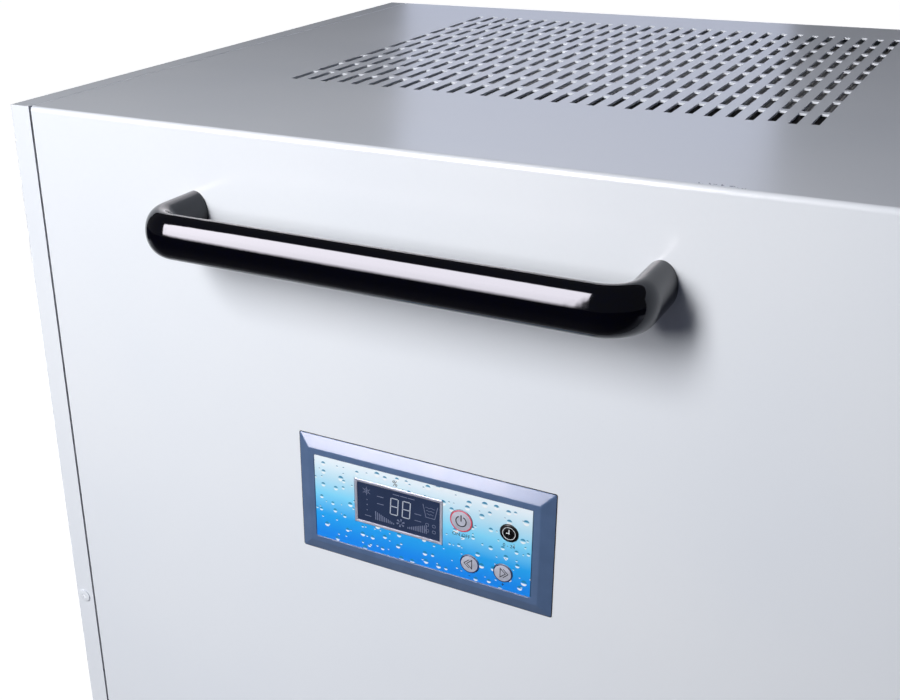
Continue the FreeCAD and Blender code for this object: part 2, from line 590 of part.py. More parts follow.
def panel_overlay():
    """The printed sheet in the bezel's recess, with the display's window and the key holes."""
    margin = "bezel_bevel + bezel_land + overlay_gap"
    plate = box("overlay_plate", window_span(margin, True),
                (f"{OVERLAY_BACK} - overlay_gauge", "overlay_gauge"), window_span(margin, False))
    through = (f"{OVERLAY_BACK} - 2 * overlay_gauge", "3 * overlay_gauge")
    low = f"{BEZEL_Z} + display_z - display_height / 2 - overlay_gap"
    window = box("overlay_window",
                 ("display_x - display_width / 2 - overlay_gap", "display_width + 2 * overlay_gap"), through,
                 (low, "display_height + 2 * overlay_gap"))
    holes = [rod(f"overlay_{key}", f"{key}_diameter + 2 * key_gap", through[1],
                 (f"{key}_x", through[0], f"{BEZEL_Z} + {key}_z"), "y") for key in KEYS]
    keep(cut("overlay_sheet", plate, window, *holes), "panel_overlay")


def display():
    """The display's frame, which stands on the board, and the glass in its recess."""
    face = f"({OVERLAY_BACK} - overlay_gauge - display_proud)"
    x = ("display_x - display_width / 2", "display_width")
    z = (f"{BEZEL_Z} + display_z - display_height / 2", "display_height")
    block = box("display_block", x, (face, f"{FRONT} + bezel_skirt - {face}"), z)
    inner_x = (f"{x[0]} + display_rim", "display_width - 2 * display_rim")
    inner_z = (f"{z[0]} + display_rim", "display_height - 2 * display_rim")
    seat_y = (f"{face} - overcut", "overcut + glass_recess + glass_gauge")
    seat = box("display_seat", inner_x, seat_y, inner_z)
    keep(cut("display_case", block, seat), "display_frame")
    keep(box("display_pane", (f"{inner_x[0]} + overlay_gap / 2", f"{inner_x[1]} - overlay_gap"),
             (f"{face} + glass_recess", "glass_gauge"),
             (f"{inner_z[0]} + overlay_gap / 2", f"{inner_z[1]} - overlay_gap")), "display_glass")


def control_keys():
    """Four round keys, each with a flange behind the overlay and a stem to its switch."""
    for key in KEYS:
        radius = f"{key}_diameter / 2"
        flange = f"{radius} + key_flange"
        cap = "overlay_gauge + key_proud + key_gap"
        root = f"{cap} + key_flange_gauge"
        end = f"{root} + key_stem_reach"
        profile = [("0", "0"), (radius, "0"), (radius, cap), (flange, cap), (flange, root),
                   ("key_stem / 2", root), ("key_stem / 2", end), ("0", end)]
        form = turned(f"{key}_cap", profile, (f"{key}_x", KEY_FACE, f"{BEZEL_Z} + {key}_z"), "y")
        keep(form, f"{key}_key")


KEY_FACE = f"({OVERLAY_BACK} - overlay_gauge - key_proud)"
KEY_END = f"({KEY_FACE} + overlay_gauge + key_proud + key_gap + key_flange_gauge + key_stem_reach)"
BOARD_FACE = f"({FRONT} + bezel_skirt)"


def control_board():
    """The circuit board on the bezel's skirt, with a switch behind each key."""
    board = box("board_plate", centred(SKIRT_WIDTH), (BOARD_FACE, "board_gauge"),
                (f"{BEZEL_Z} - {SKIRT_HEIGHT} / 2", SKIRT_HEIGHT))
    front = f"({KEY_END} + key_travel + fit_gap)"
    switches = [box(f"{key}_switch", (f"{key}_x - switch_size / 2", "switch_size"),
                    (front, f"{BOARD_FACE} - {front}"),
                    (f"{BEZEL_Z} + {key}_z - switch_size / 2", "switch_size")) for key in KEYS]
    keep(group("board_set", board, *switches), "control_board")


def fan_deck():
    """The floor of the outlet chamber with the fan's opening, and walls that carry the top panel."""
    y = (f"{FRONT} + {INSET}", f"cabinet_depth - 2 * {INSET}")
    floor = box("deck_floor", centred(INNER_WIDTH), y, (DECK_UNDER, "sheet_gauge"))
    wall_height = (DECK_UNDER, f"{TOP} - sheet_gauge - {DECK_UNDER}")
    inner = f"{PANEL_WIDTH} - 2 * sheet_gauge - 2 * fit_gap"
    start = f"{FRONT} + deck_setback"
    length = f"cabinet_depth - deck_setback - {INSET}"
    walls = [box(f"deck_wall_{side + 1}", edge_span(inner, "sheet_gauge", side), (start, length), wall_height)
             for side in (-1, 1)]
    front = box("deck_front", centred(inner), (start, "sheet_gauge"), wall_height)
    hole = rod("deck_hole", "fan_diameter + 2 * fan_tip_gap", "3 * sheet_gauge",
               ("0", FAN_Y, f"{DECK_UNDER} - sheet_gauge"))
    keep(cut("deck_sheet", fuse("deck_fold", floor, *walls, front), hole), "fan_deck")


HUB_BOTTOM = f"({DECK_UNDER} - hub_height / 2)"
MOTOR_TOP = f"({HUB_BOTTOM} - motor_gap)"
MOTOR_BOTTOM = f"({MOTOR_TOP} - motor_height)"
FAN_Y = f"({BACK} - fan_inset)"


def fan_wheel():
    """A hub with pitched blades, trimmed round at the tips and bored for the shaft."""
    hub = rod("fan_hub", "hub_diameter", "hub_height", ("0", FAN_Y, HUB_BOTTOM))
    count = round(number("blade_count"))
    blades = []
    for index in range(count):
        blade = doc.addObject("Part::Box", f"fan_blade_{index}")
        bind(blade, "Length", "fan_diameter / 2 - hub_diameter / 4 + 2 * fan_tip_gap")
        bind(blade, "Width", "blade_chord")
        bind(blade, "Height", "blade_gauge")
        spin = Rotation(Vector(0, 0, 1), 360 * index / count)
        pitch = Rotation(Vector(1, 0, 0), number("blade_pitch"))
        turn = spin.multiply(pitch)
        offset = turn.multVec(Vector(number("hub_diameter / 4"), -number("blade_chord") / 2,
                                     -number("blade_gauge") / 2))
        blade.Placement = FreeCAD.Placement(
            offset + Vector(0, number(FAN_Y), number(f"{HUB_BOTTOM} + hub_height / 2")), turn)
        blades.append(blade)
    disc = rod("fan_disc", "fan_diameter", "2 * blade_chord", ("0", FAN_Y, f"{HUB_BOTTOM} - blade_chord / 2"))
    trimmed = doc.addObject("Part::Common", "fan_tips")
    trimmed.Base = fuse("fan_form", hub, *blades)
    trimmed.Tool = disc
    bore = rod("fan_bore", "shaft_diameter + 2 * shaft_gap", "3 * blade_chord",
               ("0", FAN_Y, f"{HUB_BOTTOM} - blade_chord"))
    keep(cut("fan_bored", trimmed, bore), "fan_wheel")


def fan_motor():
    case = rod("motor_case", "motor_diameter", "motor_height", ("0", FAN_Y, MOTOR_BOTTOM))
    shaft = rod("motor_shaft", "shaft_diameter", "motor_height + motor_gap + hub_height",
                ("0", FAN_Y, MOTOR_BOTTOM))
    keep(fuse("motor_form", case, shaft), "fan_motor")


def motor_bracket():
    """A strap under the motor, hung from the deck on both sides of the fan's opening."""
    half = "(fan_diameter / 2 + fan_tip_gap + bracket_foot)"
    y = (f"{FAN_Y} - bracket_width / 2", "bracket_width")
    low = f"({MOTOR_BOTTOM} - bracket_gauge)"
    strap = box("bracket_strap", (f"-{half}", f"2 * {half}"), y, (low, "bracket_gauge"))
    pieces = [strap]
    for side in (-1, 1):
        foot = f"-{half} - bracket_foot" if side < 0 else half
        pieces.append(box(f"bracket_riser_{side + 1}", edge_span(f"2 * {half}", "bracket_gauge", side), y,
                          (low, f"{DECK_UNDER} - {low}")))
        pieces.append(box(f"bracket_foot_{side + 1}", (foot, "bracket_foot"), y,
                          (f"{DECK_UNDER} - bracket_gauge", "bracket_gauge")))
    keep(fuse("bracket_form", *pieces), "motor_bracket")


SCREEN_TOP = f"({TOP} - sheet_gauge - screen_drop)"


def outlet_screen():
    """A fine wire screen close under the slots, with two legs on the deck."""
    y = (f"{FRONT} + screen_setback", f"cabinet_depth - screen_setback - {INSET}")
    cloth = box("screen_cloth", centred("screen_width"), y, (f"{SCREEN_TOP} - screen_gauge", "screen_gauge"))
    legs = [box(f"screen_leg_{side + 1}", edge_span("screen_width", "screen_gauge", side), y,
                (DECK_TOP, f"{SCREEN_TOP} - {DECK_TOP}")) for side in (-1, 1)]
    keep(fuse("screen_form", cloth, *legs), "outlet_screen")


def foam_baffle():
    """A black foam block between the chamber's front wall and the screen."""
    start = f"{FRONT} + deck_setback + sheet_gauge"
    keep(box("foam_block", centred("screen_width"),
             (start, "screen_setback - deck_setback - sheet_gauge - fit_gap"),
             (DECK_TOP, f"{SCREEN_TOP} - {DECK_TOP}")), "foam_baffle")


def partition():
    keep(box("partition_sheet", centred(f"{PANEL_WIDTH} - 2 * sheet_gauge - 2 * fit_gap"),
             (f"{FRONT} + partition_setback", "sheet_gauge"), (SHELF_TOP, f"{DECK_UNDER} - {SHELF_TOP}")),
         "partition")


EVAPORATOR_Y = f"({BACK} - coil_inset - coil_depth / 2)"
CONDENSER_Y = f"({EVAPORATOR_Y} - coil_depth - coil_gap)"
COIL_LOW = f"({COIL_BOTTOM} + {COIL_ROW_PITCH} / 2)"
COIL_HIGH = f"({COIL_BOTTOM} + coil_height - {COIL_ROW_PITCH} / 2)"
TUBE_END = f"({COIL_WIDTH} / 2 + tube_overhang)"


def coil_shelf():
    """The floor under the coils, with holes for the two pipes and the drain spout."""
    plate = box("shelf_plate", centred(INNER_WIDTH), (f"{FRONT} + {INSET}", f"cabinet_depth - 2 * {INSET}"),
                ("shelf_height", "sheet_gauge"))
    passes = [("discharge_pass", f"-{PIPE_X}", CONDENSER_Y, "tube_diameter + 2 * pass_gap"),
              ("suction_pass", PIPE_X, EVAPORATOR_Y, "tube_diameter + 2 * pass_gap"),
              ("spout_pass", "spout_x", CONDENSER_Y, "tray_spout + 2 * fit_gap")]
    holes = [rod(name, diameter, "3 * sheet_gauge", (x, y, "shelf_height - sheet_gauge"))
             for name, x, y, diameter in passes]
    keep(cut("shelf_sheet", plate, *holes), "coil_shelf")


TRAY_Y = f"({CONDENSER_Y} - coil_depth / 2 - tray_margin)"
TRAY_DEPTH = "(2 * coil_depth + coil_gap + 2 * tray_margin)"


def drip_tray():
    """The tray that the coils stand in, with a spout over the tank."""
    block = box("tray_block", centred(TRAY_WIDTH), (TRAY_Y, TRAY_DEPTH), (SHELF_TOP, "tray_height"))
    hollow = box("tray_hollow", centred(f"{TRAY_WIDTH} - 2 * tray_gauge"),
                 (f"{TRAY_Y} + tray_gauge", f"{TRAY_DEPTH} - 2 * tray_gauge"), (TRAY_FLOOR, "tray_height"))
    spout = rod("tray_spout_rod", "tray_spout", "spout_drop",
                ("spout_x", CONDENSER_Y, f"{SHELF_TOP} - spout_drop"))
    drain = rod("tray_spout_bore", "tray_spout - 2 * tray_gauge", "spout_drop + tray_height",
                ("spout_x", CONDENSER_Y, f"{SHELF_TOP} - spout_drop - overcut"))
    shell = cut("tray_shell", block, hollow)
    keep(cut("tray_form", fuse("tray_spouted", shell, spout), drain), "drip_tray")


def coil(name, y, hand):
    """A pack of fins on end plates, and one tube that winds to and fro through it."""
    rows = round(number("coil_rows"))
    pitch = number(COIL_ROW_PITCH)
    width = number(COIL_WIDTH)
    depth = number("coil_depth")
    low = number(COIL_LOW) - number(COIL_BOTTOM)
    holes = [circle_wire(0, low + row * pitch, number("tube_diameter / 2 + tube_gap")) for row in range(rows)]

    def plate(bottom, gauge):
        form = holed_plate(rectangle(-depth / 2, depth / 2, bottom, number("coil_height")), holes, gauge)
        form.rotate(Vector(0, 0, 0), Vector(1, 0, 0), 90)
        form.rotate(Vector(0, 0, 0), Vector(0, 0, 1), 90)
        return form

    end = number("end_plate")
    outer = plate(-number("coil_stand"), end)
    fin = plate(0, number("fin_gauge"))
    count = int((width - 2 * end) / number("fin_pitch"))
    spread = (count - 1) * number("fin_pitch")
    fins = [outer.translated(Vector(-width / 2, 0, 0)), outer.translated(Vector(width / 2 - end, 0, 0))]
    step = number("fin_pitch")
    fins += [fin.translated(Vector(index * step - spread / 2, 0, 0)) for index in range(count)]
    keep(shaped(f"{name}_pack", Part.Compound(fins), ("0", y, COIL_BOTTOM)), f"{name}_fins")

    reach = number(TUBE_END)
    bend_start = number(f"{COIL_WIDTH} / 2 + end_plate")
    edges = []
    for row in range(rows):
        z = low + row * pitch
        towards = hand if row % 2 else -hand
        start = -towards * (reach if row == 0 else bend_start)
        finish = towards * (reach if row == rows - 1 else bend_start)
        edges.append(Part.LineSegment(Vector(start, 0, z), Vector(finish, 0, z)).toShape())
        if row < rows - 1:
            crest = Vector(finish + towards * pitch / 2, 0, z + pitch / 2)
            edges.append(Part.Arc(Vector(finish, 0, z), crest, Vector(finish, 0, z + pitch)).toShape())
    keep(shaped(f"{name}_winding", tube(Part.Wire(edges), number("tube_diameter")), ("0", y, COIL_BOTTOM)),
         f"{name}_tube")


PORT_TOP = f"({PAN_FLOOR} + grommet_height + foot_gauge + compressor_height + port_height)"
COMPRESSOR_Y = f"({FRONT} + compressor_setback)"
ACCUMULATOR_LOW = f"({PAN_FLOOR} + grommet_height + accumulator_lift)"
ACCUMULATOR_TOP = f"({ACCUMULATOR_LOW} + accumulator_height + port_height)"


def pipe(name, points, bend, diameter):
    """A pipe through points given by expressions."""
    corners = [Vector(*(number(value) for value in point)) for point in points]
    return shaped(name, tube(tube_path(corners, number(bend)), number(diameter)))


def refrigerant_pipes():
    discharge = [("compressor_x", COMPRESSOR_Y, PORT_TOP), ("compressor_x", COMPRESSOR_Y, PIPE_Z),
                 (f"-{PIPE_X}", COMPRESSOR_Y, PIPE_Z), (f"-{PIPE_X}", CONDENSER_Y, PIPE_Z),
                 (f"-{PIPE_X}", CONDENSER_Y, COIL_HIGH), (f"-{TUBE_END}", CONDENSER_Y, COIL_HIGH)]
    pressure_side = pipe("discharge_form", discharge, "pipe_bend", "tube_diameter")
    suction = [("accumulator_x", COMPRESSOR_Y, ACCUMULATOR_TOP), ("accumulator_x", COMPRESSOR_Y, PIPE_Z),
               (PIPE_X, COMPRESSOR_Y, PIPE_Z), (PIPE_X, EVAPORATOR_Y, PIPE_Z),
               (PIPE_X, EVAPORATOR_Y, COIL_LOW), (TUBE_END, EVAPORATOR_Y, COIL_LOW)]
    suction_side = pipe("suction_form", suction, "pipe_bend", "tube_diameter")
    keep(group("pipe_set", pressure_side, suction_side), "refrigerant_pipes")
    over = f"{COIL_BOTTOM} + coil_height + capillary_rise"
    loop_y = f"{BACK} - capillary_reach"
    capillary = [(f"-{TUBE_END}", CONDENSER_Y, COIL_LOW), (f"-{CAPILLARY_X}", CONDENSER_Y, COIL_LOW),
                 (f"-{CAPILLARY_X}", loop_y, COIL_LOW), (f"-{CAPILLARY_X}", loop_y, over),
                 (CAPILLARY_X, loop_y, over), (CAPILLARY_X, EVAPORATOR_Y, over),
                 (CAPILLARY_X, EVAPORATOR_Y, COIL_HIGH), (TUBE_END, EVAPORATOR_Y, COIL_HIGH)]
    thin = pipe("capillary_form", capillary, "pipe_bend / 2", "capillary_diameter")
    neck = "capillary_diameter / 2 + pipe_gap"
    body = "drier_diameter / 2"
    taper = "drier_diameter / 2"
    profile = [(neck, "0"), (f"{neck} + drier_neck", "0"), (body, taper), (body, f"drier_length - {taper}"),
               (f"{neck} + drier_neck", "drier_length"), (neck, "drier_length")]
    drier = turned("drier_form", profile, (f"-{CAPILLARY_X}", loop_y, f"{COIL_LOW} + drier_height"))
    keep(group("capillary_set", thin, drier), "capillary_line")


def compressor():
    """The domed shell on its foot plate with its accumulator, on rubber grommets and studs."""
    foot_z = f"({PAN_FLOOR} + grommet_height)"
    shell = rod("compressor_can", "compressor_diameter", "compressor_height",
                ("compressor_x", COMPRESSOR_Y, f"{foot_z} + foot_gauge"))
    domed = rounded("compressor_domes", shell, "compressor_dome",
                    at_level(f"{foot_z} + foot_gauge + compressor_height", "z"))
    foot = rod("compressor_foot", "foot_diameter", "foot_gauge", ("compressor_x", COMPRESSOR_Y, foot_z))
    port = rod("compressor_port", "tube_diameter + 2 * port_wall", "port_height + overcut",
               ("compressor_x", COMPRESSOR_Y, f"{PORT_TOP} - port_height - overcut"))
    holes = [rod(f"foot_hole_{index}", "stud_diameter + 2 * stud_gap", "3 * foot_gauge",
                 (x, y, f"{foot_z} - foot_gauge")) for index, x, y in stud_places()]
    inside = rod("compressor_inside", "compressor_diameter - 2 * compressor_wall",
                 "compressor_height - 2 * compressor_dome", ("compressor_x", COMPRESSOR_Y,
                                                            f"{foot_z} + foot_gauge + compressor_dome"))
    body = fuse("compressor_body", domed, foot, port)
    machine = cut("compressor_form", cut("compressor_hollow", body, inside), *holes)
    keep(group("compressor_set", machine, accumulator()), "compressor")
    mounts = []
    for index, x, y in stud_places():
        rubber = rod(f"grommet_rubber_{index}", "grommet_diameter", "grommet_height", (x, y, PAN_FLOOR))
        hole = rod(f"grommet_hole_{index}", "stud_diameter + 2 * stud_gap", "2 * grommet_height",
                   (x, y, f"{PAN_FLOOR} - grommet_height / 2"))
        mounts.append(cut(f"grommet_{index}", rubber, hole))
        shank = rod(f"stud_shank_{index}", "stud_diameter",
                    "pan_gauge + grommet_height + foot_gauge + nut_height", (x, y, PAN_UNDER))
        nut = rod(f"stud_nut_{index}", "nut_diameter", "nut_height", (x, y, f"{foot_z} + foot_gauge"))
        mounts.append(fuse(f"stud_{index}", shank, nut))
    keep(group("mount_set", *mounts), "compressor_mounts")


def accumulator():
    """The small vessel beside the compressor, with its neck and the elbow into the shell."""
    vessel = rod("accumulator_can", "accumulator_diameter", "accumulator_height",
                 ("accumulator_x", COMPRESSOR_Y, ACCUMULATOR_LOW))
    ends = (at_level(ACCUMULATOR_LOW, "z"), at_level(f"{ACCUMULATOR_LOW} + accumulator_height", "z"))
    domes = rounded("accumulator_domes", vessel, "accumulator_dome",
                    lambda edge: any(test(edge) for test in ends))
    neck = rod("accumulator_neck", "tube_diameter + 2 * port_wall", "port_height + overcut",
               ("accumulator_x", COMPRESSOR_Y, f"{ACCUMULATOR_TOP} - port_height - overcut"))
    elbow_z = f"{ACCUMULATOR_LOW} - elbow_drop"
    shell_side = "compressor_x + compressor_diameter / 2 + fit_gap"
    corners = [("accumulator_x", COMPRESSOR_Y, f"{ACCUMULATOR_LOW} + fit_gap"),
               ("accumulator_x", COMPRESSOR_Y, elbow_z), (shell_side, COMPRESSOR_Y, elbow_z)]
    elbow = pipe("accumulator_elbow", corners, "pipe_bend", "tube_diameter")
    return fuse("accumulator_form", domes, neck, elbow)


def electrics():
    """The wiring box on the partition with its cover and capacitor, and the humidity sensor at the inlet."""
    back = f"({FRONT} + partition_setback)"
    x = ("ebox_x - ebox_width / 2", "ebox_width")
    z = (f"{SHELF_TOP} + ebox_lift", "ebox_height")
    block = box("ebox_block", x, (f"{back} - ebox_depth", "ebox_depth"), z)
    hollow = box("ebox_hollow", (f"{x[0]} + ebox_gauge", "ebox_width - 2 * ebox_gauge"),
                 (f"{back} - ebox_depth - overcut", "ebox_depth - ebox_gauge + overcut"),
                 (f"{z[0]} + ebox_gauge", "ebox_height - 2 * ebox_gauge"))
    keep(cut("ebox_case", block, hollow), "electrical_box")
    keep(box("ebox_lid", x, (f"{back} - ebox_depth - ebox_gauge", "ebox_gauge"), z), "electrical_cover")
    keep(rod("capacitor_can", "capacitor_diameter", "capacitor_height",
             ("ebox_x", f"{back} - ebox_depth / 2", f"{z[0]} + ebox_gauge")), "run_capacitor")
    keep(box("sensor_case", ("cabinet_width / 2 - sensor_inset - sensor_width / 2", "sensor_width"),
             (f"{BACK} - sheet_gauge - sensor_depth", "sensor_depth"), ("sensor_z", "sensor_height")),
         "humidity_sensor")


def tank_tray():
    """A bridge on the base pan that the tank slides on, with a guide along each side."""
    y = (f"{TANK_BACK} - {TANK_DEPTH}", f"{TANK_DEPTH} - edge_return - sheet_gauge")
    gap = "(tank_width / 2 + tank_gap)"
    top = f"({TANK_BOTTOM} - fit_gap)"
    floor = box("bridge_floor", (f"-{gap}", f"2 * {gap}"), y, (f"{top} - sheet_gauge", "sheet_gauge"))
    outer = f"2 * ({gap} + sheet_gauge)"
    walls = [box(f"bridge_wall_{side + 1}", edge_span(outer, "sheet_gauge", side), y,
                 (PAN_FLOOR, f"{top} + guide_height - {PAN_FLOOR}")) for side in (-1, 1)]
    keep(fuse("bridge_form", floor, *walls), "tank_tray")


FLOAT_Y = f"({TANK_BACK} - {TANK_DEPTH} + float_inset)"
FLOAT_LOW = f"({TANK_BOTTOM} + tank_wall + fit_gap)"


def water_tank():
    """An open tub with a fascia behind the rear panel, a finger cup, the float's post and a nipple."""
    x = centred("tank_width")
    y = (f"{TANK_BACK} - {TANK_DEPTH}", TANK_DEPTH)
    tub = box("tank_block", x, y, (TANK_BOTTOM, "tank_height"))
    fascia = box("tank_fascia", centred("tank_width + 2 * tank_margin"), (TANK_BACK, "fascia_gauge"),
                 (f"{TANK_BOTTOM} - tank_margin", "tank_height + 2 * tank_margin"))
    hollow = box("tank_hollow", centred("tank_width - 2 * tank_wall"),
                 (f"{y[0]} + tank_wall", f"{TANK_DEPTH} - 2 * tank_wall"),
                 (f"{TANK_BOTTOM} + tank_wall", "tank_height"))
    grip_z = f"({TANK_BOTTOM} + tank_height - grip_drop - grip_height)"
    cup = box("grip_cup", centred("grip_width + 2 * tank_wall"),
              (f"{TANK_BACK} - grip_depth - tank_wall", "grip_depth + tank_wall"),
              (f"{grip_z} - tank_wall", "grip_height + 2 * tank_wall"))
    space = box("grip_space", centred("grip_width"),
                (f"{TANK_BACK} - grip_depth", "grip_depth + 2 * fascia_gauge"), (grip_z, "grip_height"))
    post = rod("float_post_rod", "float_post", "fit_gap + float_height + float_travel + fit_gap",
               ("float_x", FLOAT_Y, f"{TANK_BOTTOM} + tank_wall"))
    collar = rod("float_collar", "collar_diameter", "collar_height",
                 ("float_x", FLOAT_Y, f"{FLOAT_LOW} + float_height + float_travel + fit_gap"))
    nipple = rod("tank_nipple", "nipple_diameter", "nipple_length + tank_wall / 2",
                 ("pump_x", f"{y[0]} - nipple_length", NIPPLE_Z), "y")
    drawn = rod("tank_nipple_bore", "nipple_bore", "nipple_length + 2 * tank_wall",
                ("pump_x", f"{y[0]} - nipple_length - tank_wall / 2", NIPPLE_Z), "y")
    tub_shell = cut("tank_shell", fuse("tank_form", tub, fascia), hollow)
    keep(cut("tank_gripped", fuse("tank_fitted", tub_shell, cup, post, collar, nipple), space, drawn),
         "water_tank")
    ring = rod("float_ring", "float_diameter", "float_height", ("float_x", FLOAT_Y, FLOAT_LOW))
    bore = rod("float_bore", "float_post + 2 * float_gap", "2 * float_height",
               ("float_x", FLOAT_Y, f"{FLOAT_LOW} - float_height / 2"))
    keep(cut("float_form", ring, bore), "tank_float")


NIPPLE_Z = f"({TANK_BOTTOM} + nipple_height)"
PUMP_Y = f"({FRONT} + pump_setback)"
PUMP_TOP = f"({PAN_FLOOR} + pump_foot_gauge + pump_head_height)"


def water_pump():
    """A pump on a foot plate: its head, its motor beside it, and the socket that takes the tank's nipple."""
    foot = box("pump_foot", ("pump_x - pump_head_width / 2", "pump_foot_width"),
               (f"{PUMP_Y} - pump_foot_depth / 2", "pump_foot_depth"), (PAN_FLOOR, "pump_foot_gauge"))
    head = box("pump_head", ("pump_x - pump_head_width / 2", "pump_head_width"),
               (f"{PUMP_Y} - pump_head_depth / 2", "pump_head_depth"),
               (PAN_FLOOR, "pump_foot_gauge + pump_head_height"))
    motor = rod("pump_motor", "pump_motor_diameter", "pump_motor_length",
                ("pump_x + pump_head_width / 2", PUMP_Y, f"{PAN_FLOOR} + pump_motor_lift"), "x")
    saddle = box("pump_saddle", ("pump_x + pump_head_width / 2", "pump_motor_length"),
                 (f"{PUMP_Y} - pump_motor_diameter / 4", "pump_motor_diameter / 2"),
                 (PAN_FLOOR, "pump_motor_lift"))
    reach = f"({TANK_BACK} - {TANK_DEPTH} - fit_gap)"
    socket = rod("pump_socket", "socket_diameter", f"{reach} - {PUMP_Y}", ("pump_x", PUMP_Y, NIPPLE_Z), "y")
    mouth = rod("pump_mouth", "nipple_diameter + 2 * nipple_gap", "socket_depth + overcut",
                ("pump_x", f"{reach} - socket_depth", NIPPLE_Z), "y")
    body = fuse("pump_body", foot, head, motor, saddle, socket)
    keep(cut("pump_form", body, mouth), "water_pump")


CARTRIDGE_Y = f"({FRONT} + cartridge_setback)"


def water_filters():
    """A row of filter cartridges that hang from heads under the coil shelf, joined by short stubs."""
    pieces = []
    count = round(number("cartridge_count"))
    for index in range(count):
        x = f"{CARTRIDGE_FIRST} + {index} * cartridge_pitch"
        under = "(shelf_height - cartridge_head_height)"
        head = rod(f"cartridge_head_{index}", "cartridge_diameter", "cartridge_head_height",
                   (x, CARTRIDGE_Y, under))
        neck = rod(f"cartridge_neck_{index}", "cartridge_neck", "cartridge_neck_height + 2 * overcut",
                   (x, CARTRIDGE_Y, f"{under} - cartridge_neck_height - overcut"))
        low = f"({under} - cartridge_neck_height - cartridge_height)"
        can = rod(f"cartridge_can_{index}", "cartridge_diameter", "cartridge_height", (x, CARTRIDGE_Y, low))
        domed = rounded(f"cartridge_dome_{index}", can, "cartridge_dome", at_level(low, "z"))
        pieces += [head, neck, domed]
    for index in range(count - 1):
        pieces.append(rod(f"cartridge_stub_{index}", "water_diameter", "cartridge_pitch",
                          (f"{CARTRIDGE_FIRST} + {index} * cartridge_pitch", CARTRIDGE_Y, WATER_Z), "x"))
    keep(fuse("cartridge_form", *pieces), "water_filters")


def water_pipes():
    """The pipe from the pump to the first cartridge and the one from the last cartridge to the spigot."""
    side = f"({CARTRIDGE_Y} + cartridge_diameter / 2 + fit_gap)"
    rise = [("pump_x", PUMP_Y, f"{PUMP_TOP} + fit_gap"), ("pump_x", PUMP_Y, WATER_Z),
            (CARTRIDGE_FIRST, PUMP_Y, WATER_Z), (CARTRIDGE_FIRST, side, WATER_Z)]
    turn_y = f"{FRONT} + cabinet_depth - water_rear"
    run = [(CARTRIDGE_LAST, side, WATER_Z), (CARTRIDGE_LAST, turn_y, WATER_Z), ("spigot_x", turn_y, WATER_Z),
           ("spigot_x", f"{BACK} - sheet_gauge - spigot_stub - fit_gap", WATER_Z)]
    lines = [pipe(f"water_run_{index}", points, "water_bend", "water_diameter")
             for index, points in enumerate((rise, run))]
    keep(group("water_set", *lines), "water_pipes")


FILTER_Y = f"({BACK} + filter_gap)"


def air_filter():
    """A framed mesh that slides up between two rails on the back, resting on a ledge."""
    x = centred("filter_width")
    y = (FILTER_Y, "filter_depth")
    z = ("filter_level", "filter_height")
    block = box("filter_block", x, y, z)
    inner = "filter_width - 2 * filter_border"
    hollow = box("filter_hollow", centred(inner), (f"{FILTER_Y} - overcut", "filter_depth + 2 * overcut"),
                 ("filter_level + filter_border", "filter_height - 2 * filter_border"))
    ribs = [box(f"filter_rib_{index}", (f"{offset} * ({inner}) / 6 - rib_width / 2", "rib_width"),
                (f"{FILTER_Y} + filter_depth / 2", "filter_depth / 2"), z)
            for index, offset in enumerate((-1, 1))]
    tab = box("filter_tab", centred("tab_width"), y, ("filter_level + filter_height", "tab_height"))
    keep(fuse("filter_form", cut("filter_ring", block, hollow), *ribs, tab), "filter_frame")
    cloth = box("filter_cloth", centred(inner),
                (f"{FILTER_Y} + filter_depth / 2 - filter_mesh_gauge", "filter_mesh_gauge"),
                ("filter_level + filter_border", "filter_height - 2 * filter_border"))
    keep(cloth, "filter_mesh")
    rails = []
    for hand, side in (("left", -1), ("right", 1)):
        wall = "(filter_width / 2 + filter_gap)"
        depth = "filter_depth + 2 * filter_gap + rail_gauge"
        rail_z = ("filter_level - fit_gap", "filter_height + fit_gap")
        spans = {"wall": ((wall, "rail_gauge"), depth, BACK),
                 "lip": ((f"{wall} - rail_lip", "rail_lip + rail_gauge"), "rail_gauge",
                         f"{FILTER_Y} + filter_depth + filter_gap"),
                 "foot": ((wall, "rail_foot"), "rail_gauge", BACK)}
        pieces = []
        for part, ((start, size), thick, near) in spans.items():
            x_start = f"-({start}) - ({size})" if side < 0 else start
            pieces.append(box(f"rail_{hand}_{part}", (x_start, size), (near, thick), rail_z))
        rails.append(fuse(f"rail_{hand}", *pieces))
    ledge = box("ledge_shelf", centred("filter_width"), (BACK, "filter_depth + filter_gap"),
                ("filter_level - fit_gap - rail_gauge", "rail_gauge"))
    down = box("ledge_foot", centred("filter_width"), (BACK, "rail_gauge"),
               ("filter_level - fit_gap - rail_foot", "rail_foot"))
    keep(group("rail_set", *rails, fuse("ledge_form", ledge, down)), "filter_rails")


